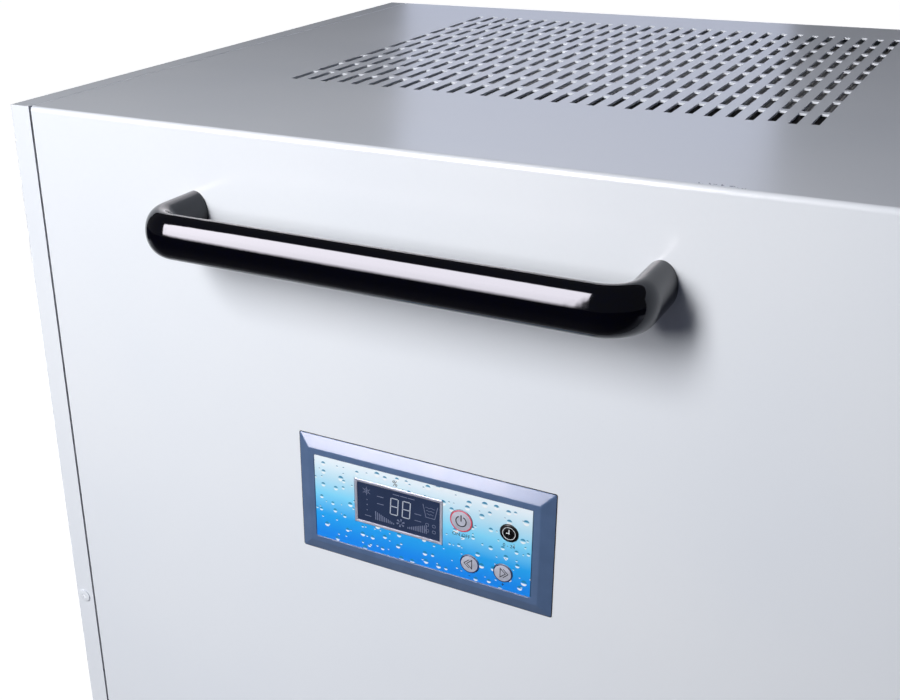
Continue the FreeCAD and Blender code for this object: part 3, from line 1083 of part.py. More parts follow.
def rear_fittings():
    """The water outlet's spigot, which meets the last pipe, and the gland for the supply lead."""
    radius = "spigot_diameter / 2"
    bore = "spigot_bore / 2"
    base = "(spigot_stub + sheet_gauge)"
    tip = f"{base} + spigot_length"
    face = f"{base} + flange_gauge"
    profile = [(bore, "0"), (radius, "0"), (radius, base), ("flange_diameter / 2", base),
               ("flange_diameter / 2", face), (radius, face), (radius, f"{tip} - tip_length"),
               (f"{radius} - tip_taper", tip), (bore, tip)]
    spigot_at = ("spigot_x", f"{BACK} - {base}", WATER_Z)
    keep(turned("spigot_form", profile, spigot_at, "y"), "outlet_spigot")
    inside = "edge_return / 2"
    gland_radius = "gland_diameter / 2"
    gland_base = f"{inside} + sheet_gauge"
    gland_tip = f"{gland_base} + gland_length"
    gland = [("gland_bore / 2", "0"), (gland_radius, "0"), (gland_radius, gland_base),
             ("flange_diameter / 2", gland_base), ("flange_diameter / 2", f"{gland_base} + flange_gauge"),
             (gland_radius, f"{gland_base} + flange_gauge"), ("gland_bore / 2 + flange_gauge", gland_tip),
             ("gland_bore / 2", gland_tip)]
    gland_at = ("gland_x", f"{BACK} - sheet_gauge - {inside}", WATER_Z)
    keep(turned("gland_form", gland, gland_at, "y"), "cord_gland")


def casters():
    """Swivel casters: plates under the base pan, forks that trail to the rear, and wheels."""
    plates = []
    bolts = []
    for name, x, y in caster_places():
        plate = box(f"plate_{name}", (f"{x} - plate_width / 2", "plate_width"),
                    (f"{y} - plate_length / 2", "plate_length"), (PLATE_UNDER, "plate_gauge"))
        pin_length = "(pivot_gap + fork_head_height - fit_gap)"
        pin = rod(f"kingpin_{name}", "kingpin_diameter", f"{pin_length} + plate_gauge / 2",
                  (x, y, f"{PLATE_UNDER} - {pin_length}"))
        holes = [rod(f"plate_hole_{spot}", "bolt_diameter + screw_clearance", "3 * plate_gauge",
                     (bolt_x, bolt_y, f"{PLATE_UNDER} - plate_gauge"))
                 for spot, bolt_x, bolt_y in bolt_places() if spot.startswith(name)]
        plates.append(cut(f"caster_plate_{name}", fuse(f"plate_pin_{name}", plate, pin), *holes))
        caster_fork(name, x, y)
        caster_wheel(name, x, y)
    for spot, x, y in bolt_places():
        head = rod(f"bolt_head_{spot}", "bolt_head", "bolt_head_height",
                   (x, y, f"{PLATE_UNDER} - bolt_head_height"))
        shank = rod(f"bolt_shank_{spot}", "bolt_diameter", "plate_gauge + pan_gauge + bolt_head_height",
                    (x, y, PLATE_UNDER))
        nut = rod(f"bolt_nut_{spot}", "bolt_head", "bolt_head_height", (x, y, PAN_FLOOR))
        bolts.append(fuse(f"caster_bolt_{spot}", head, shank, nut))
    keep(group("plate_set", *plates, *bolts), "caster_plates")


def caster_fork(name, x, y):
    head_top = f"({PLATE_UNDER} - pivot_gap)"
    crown_top = f"({head_top} - fork_head_height)"
    crown = f"({crown_top} - fork_gauge)"
    inner = "(wheel_width / 2 + cheek_gap)"
    axle_y = f"({y} + caster_trail)"
    axle_z = "wheel_diameter / 2"
    head = rod(f"fork_head_{name}", "fork_head", "fork_head_height", (x, y, crown_top))
    roof = box(f"fork_roof_{name}", (f"{x} - {inner} - fork_gauge", f"2 * ({inner} + fork_gauge)"),
               (f"{y} - fork_width / 2", "caster_trail + fork_width"), (crown, "fork_gauge"))
    pieces = [head, roof]
    for side in (-1, 1):
        cheek_x = f"{x} - {inner} - fork_gauge" if side < 0 else f"{x} + {inner}"
        pieces.append(box(f"fork_cheek_{name}_{side + 1}", (cheek_x, "fork_gauge"),
                          (f"{axle_y} - fork_width / 2", "fork_width"),
                          (f"{axle_z} - axle_diameter", f"{crown} + fork_gauge - {axle_z} + axle_diameter")))
    pieces.append(rod(f"fork_axle_{name}", "axle_diameter", f"2 * ({inner} + fork_gauge)",
                      (f"{x} - {inner} - fork_gauge", axle_y, axle_z), "x"))
    bore = rod(f"fork_bore_{name}", "kingpin_diameter + 2 * pin_gap", "2 * fork_head_height + 4 * fork_gauge",
               (x, y, f"{crown} - fork_gauge"))
    keep(cut(f"fork_{name}", fuse(f"fork_form_{name}", *pieces), bore), f"caster_fork_{name}")


def caster_wheel(name, x, y):
    """A tyre with bevelled shoulders and a hub, turned about its axle."""
    rim = "wheel_diameter / 2"
    bore = "axle_diameter / 2 + axle_gap"
    shoulder = f"{rim} - wheel_chamfer"
    profile = [(bore, "0"), (shoulder, "0"), (rim, "wheel_chamfer"), (rim, "wheel_width - wheel_chamfer"),
               (shoulder, "wheel_width"), (bore, "wheel_width")]
    keep(turned(f"wheel_{name}", profile, (f"{x} - wheel_width / 2", f"{y} + caster_trail", rim), "x"),
         f"caster_wheel_{name}")


def panel_screws():
    """Low domed screws, painted with the panels: on the side strips and along the back."""
    screws = []
    for side in (-1, 1):
        for index, z in enumerate(STRIP_SCREWS):
            x = f"{side} * (cabinet_width - side_fold) / 2"
            screws.append((f"strip_{side + 1}_{index}", x, FRONT, z, -1))
    for index, x in enumerate(REAR_SCREW_X):
        for level, z in (("low", REAR_SCREW_LOW), ("high", REAR_SCREW_HIGH)):
            screws.append((f"rear_{level}_{index}", x, BACK, z, 1))
    solids = []
    for name, x, y, z, out in screws:
        shank_start = y if out < 0 else f"{y} - screw_reach"
        head_start = f"{y} - screw_head_height" if out < 0 else y
        shank = rod(f"screw_shank_{name}", "screw_diameter", "screw_reach", (x, shank_start, z), "y")
        head = rod(f"screw_head_{name}", "screw_head", "screw_head_height", (x, head_start, z), "y")
        solids.append(fuse(f"screw_{name}", shank, head))
    keep(group("screw_set", *solids), "panel_screws")


def write_nodes():
    """Check every object, then write one file for each node."""
    doc.recompute()
    for item in doc.Objects:
        if {"Invalid", "Error"} & set(item.State):
            raise RuntimeError(f"{item.Name} failed: {item.State}")
    for item in NODES:
        if item.Shape.isNull() or not item.Shape.isValid() or not item.Shape.Solids:
            raise RuntimeError(f"{item.Label} has no valid solid")
    os.makedirs("parts", exist_ok=True)
    for item in NODES:
        item.Shape.exportStep(f"parts/{item.Label}.step")
    whole = Part.Compound([item.Shape for item in NODES]).BoundBox
    print(f"{len(NODES)} nodes, x {whole.XMin:.2f} {whole.XMax:.2f}, y {whole.YMin:.2f} {whole.YMax:.2f},"
          f" z {whole.ZMin:.2f} {whole.ZMax:.2f}")


base_pan()
side_panel("left_side_panel", -1)
side_panel("right_side_panel", 1)
keep(group("post_set", corner_post(-1), corner_post(1)), "corner_posts")
front_panel()
top_panel()
rear_panel()
pull_handle()
handle_screws()
control_bezel()
panel_overlay()
display()
control_keys()
control_board()
fan_deck()
fan_wheel()
fan_motor()
motor_bracket()
outlet_screen()
foam_baffle()
partition()
coil_shelf()
drip_tray()
coil("evaporator", EVAPORATOR_Y, 1)
coil("condenser", CONDENSER_Y, -1)
refrigerant_pipes()
compressor()
electrics()
tank_tray()
water_tank()
water_pump()
water_filters()
water_pipes()
air_filter()
rear_fittings()
casters()
panel_screws()
write_nodes()
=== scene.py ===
"""The looks of a cabinet that draws drinking water from the air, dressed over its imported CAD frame."""

import json
import math
from functools import partial

import bmesh
import bpy
import numpy as np
from bpy.props import FloatProperty, FloatVectorProperty, IntProperty, PointerProperty
from mathutils import Matrix, Vector


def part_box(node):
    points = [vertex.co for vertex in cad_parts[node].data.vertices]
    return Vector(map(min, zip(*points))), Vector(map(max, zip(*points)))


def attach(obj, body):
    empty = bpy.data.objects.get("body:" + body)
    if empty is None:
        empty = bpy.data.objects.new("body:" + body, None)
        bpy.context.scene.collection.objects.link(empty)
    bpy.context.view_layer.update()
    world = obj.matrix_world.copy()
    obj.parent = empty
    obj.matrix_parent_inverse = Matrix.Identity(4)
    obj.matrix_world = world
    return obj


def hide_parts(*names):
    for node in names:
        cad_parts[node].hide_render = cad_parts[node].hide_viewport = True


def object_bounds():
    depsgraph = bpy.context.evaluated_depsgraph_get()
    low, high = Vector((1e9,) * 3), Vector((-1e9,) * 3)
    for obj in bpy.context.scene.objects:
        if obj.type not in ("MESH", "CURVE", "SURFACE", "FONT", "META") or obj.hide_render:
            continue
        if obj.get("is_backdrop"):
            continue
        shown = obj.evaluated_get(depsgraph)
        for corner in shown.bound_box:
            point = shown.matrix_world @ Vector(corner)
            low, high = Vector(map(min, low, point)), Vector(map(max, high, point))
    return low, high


bl_info = {
    "name": "Atmospheric water generator",
    "version": (1, 0, 0),
    "blender": (4, 5, 0),
    "location": "View3D > Sidebar > Water",
    "description": "Dresses the packed cabinet with its handle, key panel, fittings and finishes",
    "category": "Object",
}

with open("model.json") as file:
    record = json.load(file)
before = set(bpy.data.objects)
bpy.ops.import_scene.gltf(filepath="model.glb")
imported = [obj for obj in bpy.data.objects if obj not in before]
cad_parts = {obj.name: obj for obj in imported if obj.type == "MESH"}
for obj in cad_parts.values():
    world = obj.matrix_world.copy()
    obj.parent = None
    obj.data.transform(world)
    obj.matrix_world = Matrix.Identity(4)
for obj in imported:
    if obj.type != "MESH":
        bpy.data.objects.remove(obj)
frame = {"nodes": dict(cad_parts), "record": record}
CAD_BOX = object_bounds()
MM = 0.001
SLOT_OF = {part["node"]: part["material_slot"] for part in frame["record"]["subparts"]}
KEYS = ("power", "timer", "left", "right")
CASTERS = ("front_left", "front_right", "rear_left", "rear_right")
FINISHES = {}


def linear(code):
    """Linear red, green and blue of an sRGB hex colour, by the sRGB curve."""
    level = np.array([int(code[start:start + 2], 16) for start in (1, 3, 5)]) / 255
    return tuple(np.where(level <= 0.04045, level / 12.92, ((level + 0.055) / 1.055) ** 2.4).tolist())


def opaque(shade):
    """A colour, given as sRGB hex or as linear light, with an alpha of one, as colour sockets take it."""
    return (*(linear(shade) if isinstance(shade, str) else shade), 1.0)


# Sizes and colours that a user may change.

def length(name, description, millimetres):
    """A property for a real length, kept in metres."""
    return FloatProperty(name=name, description=description, default=millimetres * MM, min=0, unit="LENGTH")


def number(name, description, default, least=0, **more):
    """A property for a number with a least value."""
    return FloatProperty(name=name, description=description, default=default, min=least, **more)


def colour(name, description, code):
    """A property for a colour, given as sRGB hex and kept as linear light."""
    return FloatVectorProperty(name=name, description=description, default=linear(code), min=0, max=1,
                               subtype="COLOR", size=3)


class WaterSizes(bpy.types.PropertyGroup):
    """Lengths of the pieces that are added to the frame."""

    handle_bend: length("Handle bend", "Radius of the handle's bends, along the middle of its bar", 15)
    handle_depth: length("Handle depth", "Thickness of the handle's oval bar from front to back", 15.6)
    seam: length("Seam", "Width of the seams between the cabinet's panels", 1.5)
    bezel_corner: length("Bezel corner", "Radius of the bezel's outer corners", 0.8)
    bezel_bevel: length("Bezel bevel", "Width of the sloping band round the bezel", 6.7)
    bezel_rim: length("Bezel rim", "Height of the upright edge under that band", 0.5)
    # The strip round the bezel is dark as painted shade of the gap between the bezel and the panel.
    bezel_shade_strip: length("Bezel shade strip", "How far the painted shade strip shows outside the bezel's edge", 0.3)
    print_lift: length("Print lift", "How far printed marks stand above what they are printed on", 0.03)
    stroke: length("Symbol stroke", "Width of the lines of the key symbols", 0.6)
    digit_stroke: length("Digit stroke", "Width of the display's digit segments", 0.5)
    key_flange: length("Key flange", "Width of each key's flange, which the panel film hides", 0.8)
    wire_pitch: length("Filter wire pitch", "Distance between the wires of the air filter", 2.6)
    wire: length("Filter wire", "Thickness of the wires of the air filter", 0.6)
    screw_cross: length("Screw cross", "Length of a screw's cross recess from tip to tip", 4.4)
    turns: IntProperty(name="Round steps", description="Faces round a turned piece", default=64, min=12,
                       max=128)


class WaterColours(bpy.types.PropertyGroup):
    """Colours of the finishes that the eye meets first."""

    paint: colour("Cabinet paint", "Powder coat on the cabinet's sheets", "#E9ECF1")
    handle: colour("Handle enamel", "Gloss enamel on the pull handle", "#050509")
    bezel: colour("Bezel plastic", "Moulded bezel round the key panel", "#546A8D")
    print_top: colour("Print, top", "Panel print along its upper edge", "#EDF8FF")
    print_middle: colour("Print, middle", "Panel print at half height", "#82D9FC")
    print_bottom: colour("Print, bottom", "Panel print along its lower edge", "#0A8AF2")
    drop_shade: colour("Drop shade", "Shaded upper side of the printed drops", "#1F86AE")
    display: colour("Display", "Tinted window of the display", "#2E3A56")
    digits: colour("Digits", "Display segments that are on", "#B9C1D0")
    marks: colour("Dim marks", "Display segments that are off but still show", "#6F7894")
    display_frame: colour("Display frame", "Thin bright frame round the display", "#BABED0")
    key: colour("Key", "Caps of the power and arrow keys", "#B3B6C4")
    timer_key: colour("Timer key", "Cap of the timer key", "#0A0A0D")
    power_ring: colour("Power ring", "Ring printed round the power key", "#D9405C")


class WaterStage(bpy.types.PropertyGroup):
    """Lamps and lens of the studio."""

    lens: number("Lens", "Focal length on a 36 mm sensor", 48.42, 10, subtype="DISTANCE_CAMERA")
    key_power: number("Key", "Power of the tall lamp before the front's left half", 12.8, unit="POWER")
    strip_glow: number("Diffuser", "Brightness of the curtain that only gloss mirrors", 23.2)
    side_power: number("Sides", "Power of each lamp at the sides and back", 38, unit="POWER")
    fill_power: number("Low fill", "Power of the narrow lamp on the front's foot", 0.3, unit="POWER")
    back_power: number("Back panel", "Power of the lamp behind, which only gloss mirrors", 4.7, unit="POWER")
    ambient: number("Ambient", "Level of the light from all round", 0.075, subtype="FACTOR")
    ambient_tint: colour("Ambient tint", "Colour of the light from all round", "#BCCBFF")
    mirrored: number("Mirrored surround", "Level of the surround as gloss and metal show it", 0.08, max=1,
                     subtype="FACTOR")
    floor_lift: number("Floor lift", "Share of the floor's white that needs no lamp", 0.82, max=1,
                       subtype="FACTOR")


class WaterSettings(bpy.types.PropertyGroup):
    """All the settings of this add-on, kept on the scene."""

    sizes: PointerProperty(type=WaterSizes, name="Sizes", description="Lengths of the added pieces")
    colours: PointerProperty(type=WaterColours, name="Colours", description="Colours of the main finishes")
    stage: PointerProperty(type=WaterStage, name="Stage", description="Lamps and lens")


def settings():
    """The settings on the open scene."""
    return bpy.context.scene.water_generator


# The frame's boxes.

def corners(node):
    """The low and the high corner of a CAD node's box, in metres."""
    return tuple(np.array(corner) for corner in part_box(node))


def middle(node):
    """Middle of a CAD node's box."""
    return sum(corners(node)) / 2


def span(node):
    """Sides of a CAD node's box."""
    low, high = corners(node)
    return high - low


def face_of(node):
    """Level along y of a CAD node's front."""
    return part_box(node)[0][1]


def print_levels(node):
    """Levels of the back and front of what is printed on a CAD node; the back lies just under its face."""
    return face_of(node) + 0.02 * MM, face_of(node) - settings().sizes.print_lift


# Surfaces as numpy grids.

def stacked(*axes):
    """Points from their coordinates, each an array or one number for them all."""
    return np.stack(np.broadcast_arrays(*axes), axis=-1)


def at_level(flat, level):
    """Points (x, z) of the panel's plane, set at a level along y."""
    flat = np.asarray(flat, dtype=float)
    return stacked(flat[:, 0], level, flat[:, 1])


def unit(runs):
    """Each run divided by its own length."""
    return runs / np.linalg.norm(runs, axis=1, keepdims=True)


def around(sides):
    """Cosine and sine of angles spaced evenly round a circle."""
    angle = np.linspace(0, 2 * np.pi, sides, endpoint=False)
    return np.cos(angle), np.sin(angle)


def skin(points, close_rows=False):
    """Quads between neighbours of a rows by columns grid whose columns run round a ring; rows that don't
    close get an end face made of their whole first and last ring."""
    rows, columns = points.shape[:2]
    row, column = np.meshgrid(np.arange(rows if close_rows else rows - 1), np.arange(columns), indexing="ij")
    below = (row + 1) % rows
    beside = (column + 1) % columns
    quads = np.stack([row * columns + column, row * columns + beside, below * columns + beside,
                      below * columns + column], axis=-1).reshape(-1, 4)
    ring = np.arange(columns)
    ends = [] if close_rows else [np.stack([ring, ring + (rows - 1) * columns])]
    return points.reshape(-1, 3), [quads, *ends]


def joined(shells):
    """Several shells as one: their points in a row, each one's faces counted on from the points before
    it."""
    shells = list(shells)
    starts = np.cumsum([0] + [len(points) for points, _ in shells])
    faces = [block + start for (_, own), start in zip(shells, starts) for block in own]
    return np.concatenate([points for points, _ in shells]), faces


def tube(path, radius, up, sides, stretch=1.0):
    """An oval carried along a flat path: each ring is the path's point plus radius times cosine along the
    path's normal and radius times stretch times sine along up."""
    across = np.cross(unit(np.gradient(path, axis=0)), up)
    cosine, sine = around(sides)
    ring = cosine[:, None] * across[:, None] + sine[:, None] * (stretch * np.asarray(up, dtype=float))
    return skin(path[:, None] + radius * ring)


def turned(profile, centre, axis, sides, close=False):
    """A profile of (radius, height) pairs turned about a level axis: centre plus height along the axis plus
    radius times cosine and sine on two directions across it."""
    radius, height = np.asarray(profile, dtype=float).T[:, :, None, None]
    first = np.cross(axis, (0, 0, 1))
    cosine, sine = around(sides)
    ring = cosine[:, None] * first + sine[:, None] * np.cross(axis, first)
    return skin(np.asarray(centre) + height * axis + radius * ring, close_rows=close)


def rounded_outline(width, height, radius, centre, steps=6):
    """Outline of a rectangle: each corner's centre plus a quarter circle of the given radius."""
    angle = (np.linspace(0, np.pi / 2, steps + 1) + np.arange(4)[:, None] * np.pi / 2).ravel()
    corner = np.repeat([[1, 1], [-1, 1], [-1, -1], [1, -1]], steps + 1, axis=0)
    inner = np.array([width / 2 - radius, height / 2 - radius])
    return np.asarray(centre) + corner * inner + radius * stacked(np.cos(angle), np.sin(angle))


def framed(node, profile, radius, least):
    """A closed profile of (inset, level) pairs carried round a CAD node's front as a rounded rectangle,
    whose corner radius shrinks by the inset down to a least one, so the slopes meet almost in a mitre."""
    width, _, height = span(node)
    centre = middle(node)[[0, 2]]
    rings = []
    for inset, level in profile:
        outline = rounded_outline(width - 2 * inset, height - 2 * inset, max(radius - inset, least), centre)
        rings.append(at_level(outline, level))
    return skin(np.stack(rings), close_rows=True)


def plate(outline, back, front):
    """A flat outline given thickness: the same outline at two levels, closed by a face at each end."""
    return skin(np.stack([at_level(outline, back), at_level(outline, front)]))


def arc(centre, radius, start, stop, steps=40):
    """Points along a circle between two angles in degrees, measured from the panel's x towards its z."""
    angle = np.radians(np.linspace(start, stop, steps))
    return np.asarray(centre) + radius * stacked(np.cos(angle), np.sin(angle))


def disc(centre, radius, back, front, sides):
    """A round plate: its outline is a whole circle."""
    return plate(arc(centre, radius, 0, 360, sides + 1)[:-1], back, front)


def ribbon(line, width, back, front, close=False):
    """A drawn line as a four-sided bar: each point moved half the width to both sides along the mitre of
    the two runs that meet there, which is the sum of their normals over one plus their dot product."""
    line = np.asarray(line, dtype=float)
    after = np.roll(line, -1, axis=0) - line
    before = line - np.roll(line, 1, axis=0)
    if not close:
        after[-1] = before[-1]
        before[0] = after[0]
    normal_before, normal_after = (unit(run)[:, ::-1] * (-1, 1) for run in (before, after))
    overlap = (normal_before * normal_after).sum(axis=1, keepdims=True)
    half = (normal_before + normal_after) / (1 + overlap) * width / 2
    sides = [at_level(line + half, back), at_level(line + half, front), at_level(line - half, front),
             at_level(line - half, back)]
    return skin(np.stack(sides, axis=1), close_rows=close)


def circle_line(centre, radius, width, back, front):
    """A ring drawn on the panel: a closed ribbon along a whole circle."""
    return ribbon(arc(centre, radius, 0, 360, 65)[:-1], width, back, front, close=True)


HALF_CORNERS = np.array([[x, y, z] for x in (-0.5, 0.5) for y in (-0.5, 0.5) for z in (-0.5, 0.5)])
BLOCK_FACES = np.array([[0, 1, 3, 2], [4, 6, 7, 5], [0, 4, 5, 1], [2, 3, 7, 6], [0, 2, 6, 4], [1, 5, 7, 3]])


def blocks(centres, sizes):
    """Square blocks: each centre plus its size times the eight half corners of a unit block."""
    centres = np.asarray(centres, dtype=float)
    points = centres[:, None] + np.broadcast_to(sizes, centres.shape)[:, None] * HALF_CORNERS
    faces = np.arange(len(centres))[:, None, None] * len(HALF_CORNERS) + BLOCK_FACES
    return points.reshape(-1, 3), [faces.reshape(-1, 4)]


def points_of(mesh):
    """A mesh's points as rows of x, y and z."""
    points = np.empty(len(mesh.vertices) * 3)
    mesh.vertices.foreach_get("co", points)
    return points.reshape(-1, 3)


def lettering(words, height, centre, back, front):
    """Words as flat solid letters: Blender's own font made a mesh, its x and y laid on the panel's x and
    z."""
    curve = bpy.data.curves.new("letters", "FONT")
    curve.body = words
    curve.size = height
    curve.extrude = (back - front) / 2
    curve.align_x = "CENTER"
    curve.align_y = "CENTER"
    holder = bpy.data.objects.new("letters", curve)
    mesh = bpy.data.meshes.new_from_object(holder)
    mesh.calc_loop_triangles()
    x, z, out = points_of(mesh).T
    triangles = np.empty(len(mesh.loop_triangles) * 3, dtype=int)
    mesh.loop_triangles.foreach_get("vertices", triangles)
    bpy.data.objects.remove(holder)
    bpy.data.curves.remove(curve)
    bpy.data.meshes.remove(mesh)
    return stacked(centre[0] + x, (back + front) / 2 - out, centre[1] + z), [triangles.reshape(-1, 3)]


def piece(name, shell, slot, look=None, body="cabinet", replaced=(), crease=35):
    """Puts a shell into a mesh object at the origin, its faces outward and smooth up to the crease angle,
    in the finish of its slot or another look, ties it to its body, and hides the CAD nodes it stands
    for."""
    points, faces = shell
    mesh = bpy.data.meshes.new(name)
    mesh.from_pydata(points.tolist(), [], [face for block in faces for face in block.tolist()])
    form = bmesh.new()
    form.from_mesh(mesh)
    bmesh.ops.remove_doubles(form, verts=form.verts, dist=1e-7)
    bmesh.ops.recalc_face_normals(form, faces=form.faces)
    form.to_mesh(mesh)
    form.free()
    if not mesh.polygons:
        raise RuntimeError(f"{name} has no faces")
    mesh.shade_smooth()
    mesh.set_sharp_from_angle(angle=math.radians(crease))
    mesh.materials.append(FINISHES[look or slot])
    made = bpy.data.objects.new(name, mesh)
    bpy.context.scene.collection.objects.link(made)
    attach(made, body)
    if replaced:
        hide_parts(*replaced)


# Finishes.

def feed(node, *values, **named):
    """Gives a node's inputs what they take, bare values in order and the others by name, with underscores
    for spaces: a constant, a colour, or a link from a socket or from a node's first output in use."""
    for key, value in [*enumerate(values), *named.items()]:
        socket = node.inputs[key.replace("_", " ") if isinstance(key, str) else key]
        if isinstance(value, bpy.types.Node):
            value = next(output for output in value.outputs if output.enabled)
        if isinstance(value, bpy.types.NodeSocket):
            node.id_data.links.new(value, socket)
        else:
            socket.default_value = opaque(value) if socket.type == "RGBA" else value


def add_node(tree, kind, *values, stops=(), **named):
    """Adds a shader node: names in small letters set attributes, stops a ramp, and the rest inputs."""
    made = tree.nodes.new(f"ShaderNode{kind}")
    for name in filter(str.islower, named):
        setattr(made, name, named[name])
    for index, (position, shade) in enumerate(stops):
        elements = made.color_ramp.elements
        stop = elements[index] if index < len(elements) else elements.new(position)
        stop.position = position
        stop.color = opaque(shade)
    feed(made, *values, **{name: value for name, value in named.items() if not name.islower()})
    return made


def finish(name, **sockets):
    """A new material, what adds its nodes, its shader with some sockets set, and its Object coordinates."""
    material = bpy.data.materials.new(name)
    material.use_nodes = True
    tree = material.node_tree
    shader = tree.nodes["Principled BSDF"]
    feed(shader, **sockets)
    node = partial(add_node, tree)
    return material, node, shader, node("TexCoord").outputs["Object"]


def per_mm(millimetres):
    """The scale at which a noise or cell pattern repeats about once in that real length."""
    return 1 / (millimetres * MM)


# Noise seldom leaves these levels.
NOISE_LOW, NOISE_HIGH = 0.3, 0.7
FROM_NOISE = {"From_Min": NOISE_LOW, "From_Max": NOISE_HIGH}


def grained(name, shade, grain, depth, drift, patch, rough, **sockets):
    """A finish with a fine grain: bump of the given strength from noise of the grain's size, and colour and
    roughness that drift by a share over patches of the given size. Sizes are in millimetres."""
    base = np.array(opaque(shade)[:3])
    material, node, shader, place = finish(name, **sockets)
    cloud = node("TexNoise", Vector=place, Scale=per_mm(patch), Detail=3.0)
    light = np.minimum(base * (1 + drift), 1)
    tone = node("ValToRGB", Fac=cloud, stops=[(NOISE_LOW, base * (1 - drift)), (NOISE_HIGH, light)])
    gloss = node("MapRange", Value=cloud, **FROM_NOISE, To_Min=rough[0], To_Max=rough[1])
    fine = node("TexNoise", Vector=place, Scale=per_mm(grain), Detail=2.0)
    bump = node("Bump", Height=fine, Strength=depth, Distance=grain * MM * 0.15)
    feed(shader, Base_Color=tone, Roughness=gloss, Normal=bump)
    return material


def stained_metal(name, patch, detail, stops, **gloss):
    """Bare metal whose colour and roughness follow one noise, with patches of so many millimetres."""
    material, node, shader, place = finish(name, Metallic=1.0)
    stain = node("TexNoise", Vector=place, Scale=per_mm(patch), Detail=detail)
    tone = node("ValToRGB", Fac=stain, stops=stops)
    feed(shader, Base_Color=tone, Roughness=node("MapRange", Value=stain, **gloss))
    return material


def powder_coat(paint):
    """Polyester powder coat, sprayed and baked on steel: a satin white whose orange peel breaks up
    reflections, with a few chips of bare grey steel along the bend over the front."""
    material, node, shader, place = finish("Powder-coated steel, baked white", IOR=1.5)
    drift = node("TexNoise", Vector=place, Scale=per_mm(140), Detail=2.0)
    cool = np.multiply(paint, (0.965, 0.975, 0.99))
    tone = node("ValToRGB", Fac=drift, stops=[(NOISE_LOW, cool), (NOISE_HIGH, paint)])
    gloss = node("MapRange", Value=drift, **FROM_NOISE, To_Min=0.18, To_Max=0.22)
    # The orange peel's cells are about 1.4 mm across.
    peel = node("TexNoise", Vector=place, Scale=per_mm(1.4), Detail=1.0)
    bump = node("Bump", Height=peel, Strength=0.12, Distance=0.1 * MM)
    # Chips are a millimetre or less wide; they thin out round one place on the top edge.
    low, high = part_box("front_panel")
    worn = Vector((0.132, low[1] + 4 * MM, high[2]))
    # One over the distances along x, y and z at which none are left.
    per_reach = (38, 260, 200)
    shift = node("VectorMath", place, worn, operation="SUBTRACT")
    spread = node("VectorMath", shift, per_reach, operation="MULTIPLY")
    away = node("VectorMath", spread, operation="LENGTH")
    share = node("MapRange", Value=away, To_Min=0.22, To_Max=-0.14)
    flakes = node("TexNoise", Vector=place, Scale=per_mm(1.3), Detail=3.0)
    total = node("Math", flakes, share, operation="ADD")
    chipped = node("MapRange", Value=total, From_Min=0.72, From_Max=0.75)
    bare = node("Mix", Factor=chipped, A=tone, B="#4A4C54", data_type="RGBA")
    feed(shader, Base_Color=bare, Roughness=gloss, Normal=bump)
    return material


def gloss_enamel(shade):
    """Stoved black enamel on a steel bar: a deep black under a hard clear gloss that mirrors the lamps
    with edges a little wavy, since the sprayed film never levels quite flat."""
    # The blue specular tint is painted light: it gives the enamel's reflections the blue of the fill lamps.
    material, node, shader, place = finish("Stoved enamel on steel, gloss black", IOR=1.5,
                                           Specular_Tint=(0.85, 0.9, 1))
    wave = node("TexNoise", Vector=place, Scale=per_mm(9), Detail=2.0)
    bump = node("Bump", Height=wave, Strength=0.08, Distance=0.6 * MM)
    dust = node("TexNoise", Vector=place, Scale=per_mm(2.5), Detail=4.0)
    # Where the noise rises, the black turns bluer: painted light, the blue cast of the fill on the black; the
    # same noise gives the dust's roughness.
    blue = np.multiply(shade, (0.6, 0.7, 1.5))
    tone = node("ValToRGB", Fac=dust, stops=[(0.35, shade), (0.7, blue)])
    gloss = node("MapRange", Value=dust, To_Min=0.03, To_Max=0.1)
    feed(shader, Base_Color=tone, Roughness=gloss, Normal=bump)
    return material


def printed_drops(node, flat, under, cell, reach, share, shade):
    """Printed drops on one scale: in a share of the Voronoi cells a disc about the cell's point, shaded
    on its upper side and white on its lower side, over the colour under it."""
    scaled = node("VectorMath", flat, Scale=per_mm(cell), operation="SCALE")
    cells = node("TexVoronoi", Vector=scaled, Scale=1.0, Randomness=0.85, voronoi_dimensions="2D")
    chance = node("SeparateColor", cells.outputs["Color"]).outputs
    radius = node("MapRange", Value=chance["Red"], To_Min=reach[0], To_Max=reach[1])
    local = node("VectorMath", scaled, cells.outputs["Position"], operation="SUBTRACT")
    ratio = node("VectorMath", local, radius, operation="DIVIDE")
    spot = node("VectorMath", ratio, (1, 1, 0), operation="MULTIPLY")
    far = node("VectorMath", spot, operation="LENGTH")
    inside = node("MapRange", Value=far, From_Min=1.0, From_Max=0.8)
    chosen = node("Math", chance["Green"], share, operation="LESS_THAN")
    mask = node("Math", inside, chosen, operation="MULTIPLY")
    upright = node("SeparateXYZ", spot).outputs["Y"]
    for start, stop, ink in ((0.05, 0.35, shade), (0.0, -0.3, "#F4FAFD")):
        side = node("MapRange", Value=upright, From_Min=start, From_Max=stop)
        cover = node("Math", mask, side, operation="MULTIPLY")
        under = node("Mix", Factor=cover, A=under, B=ink, data_type="RGBA")
    return under


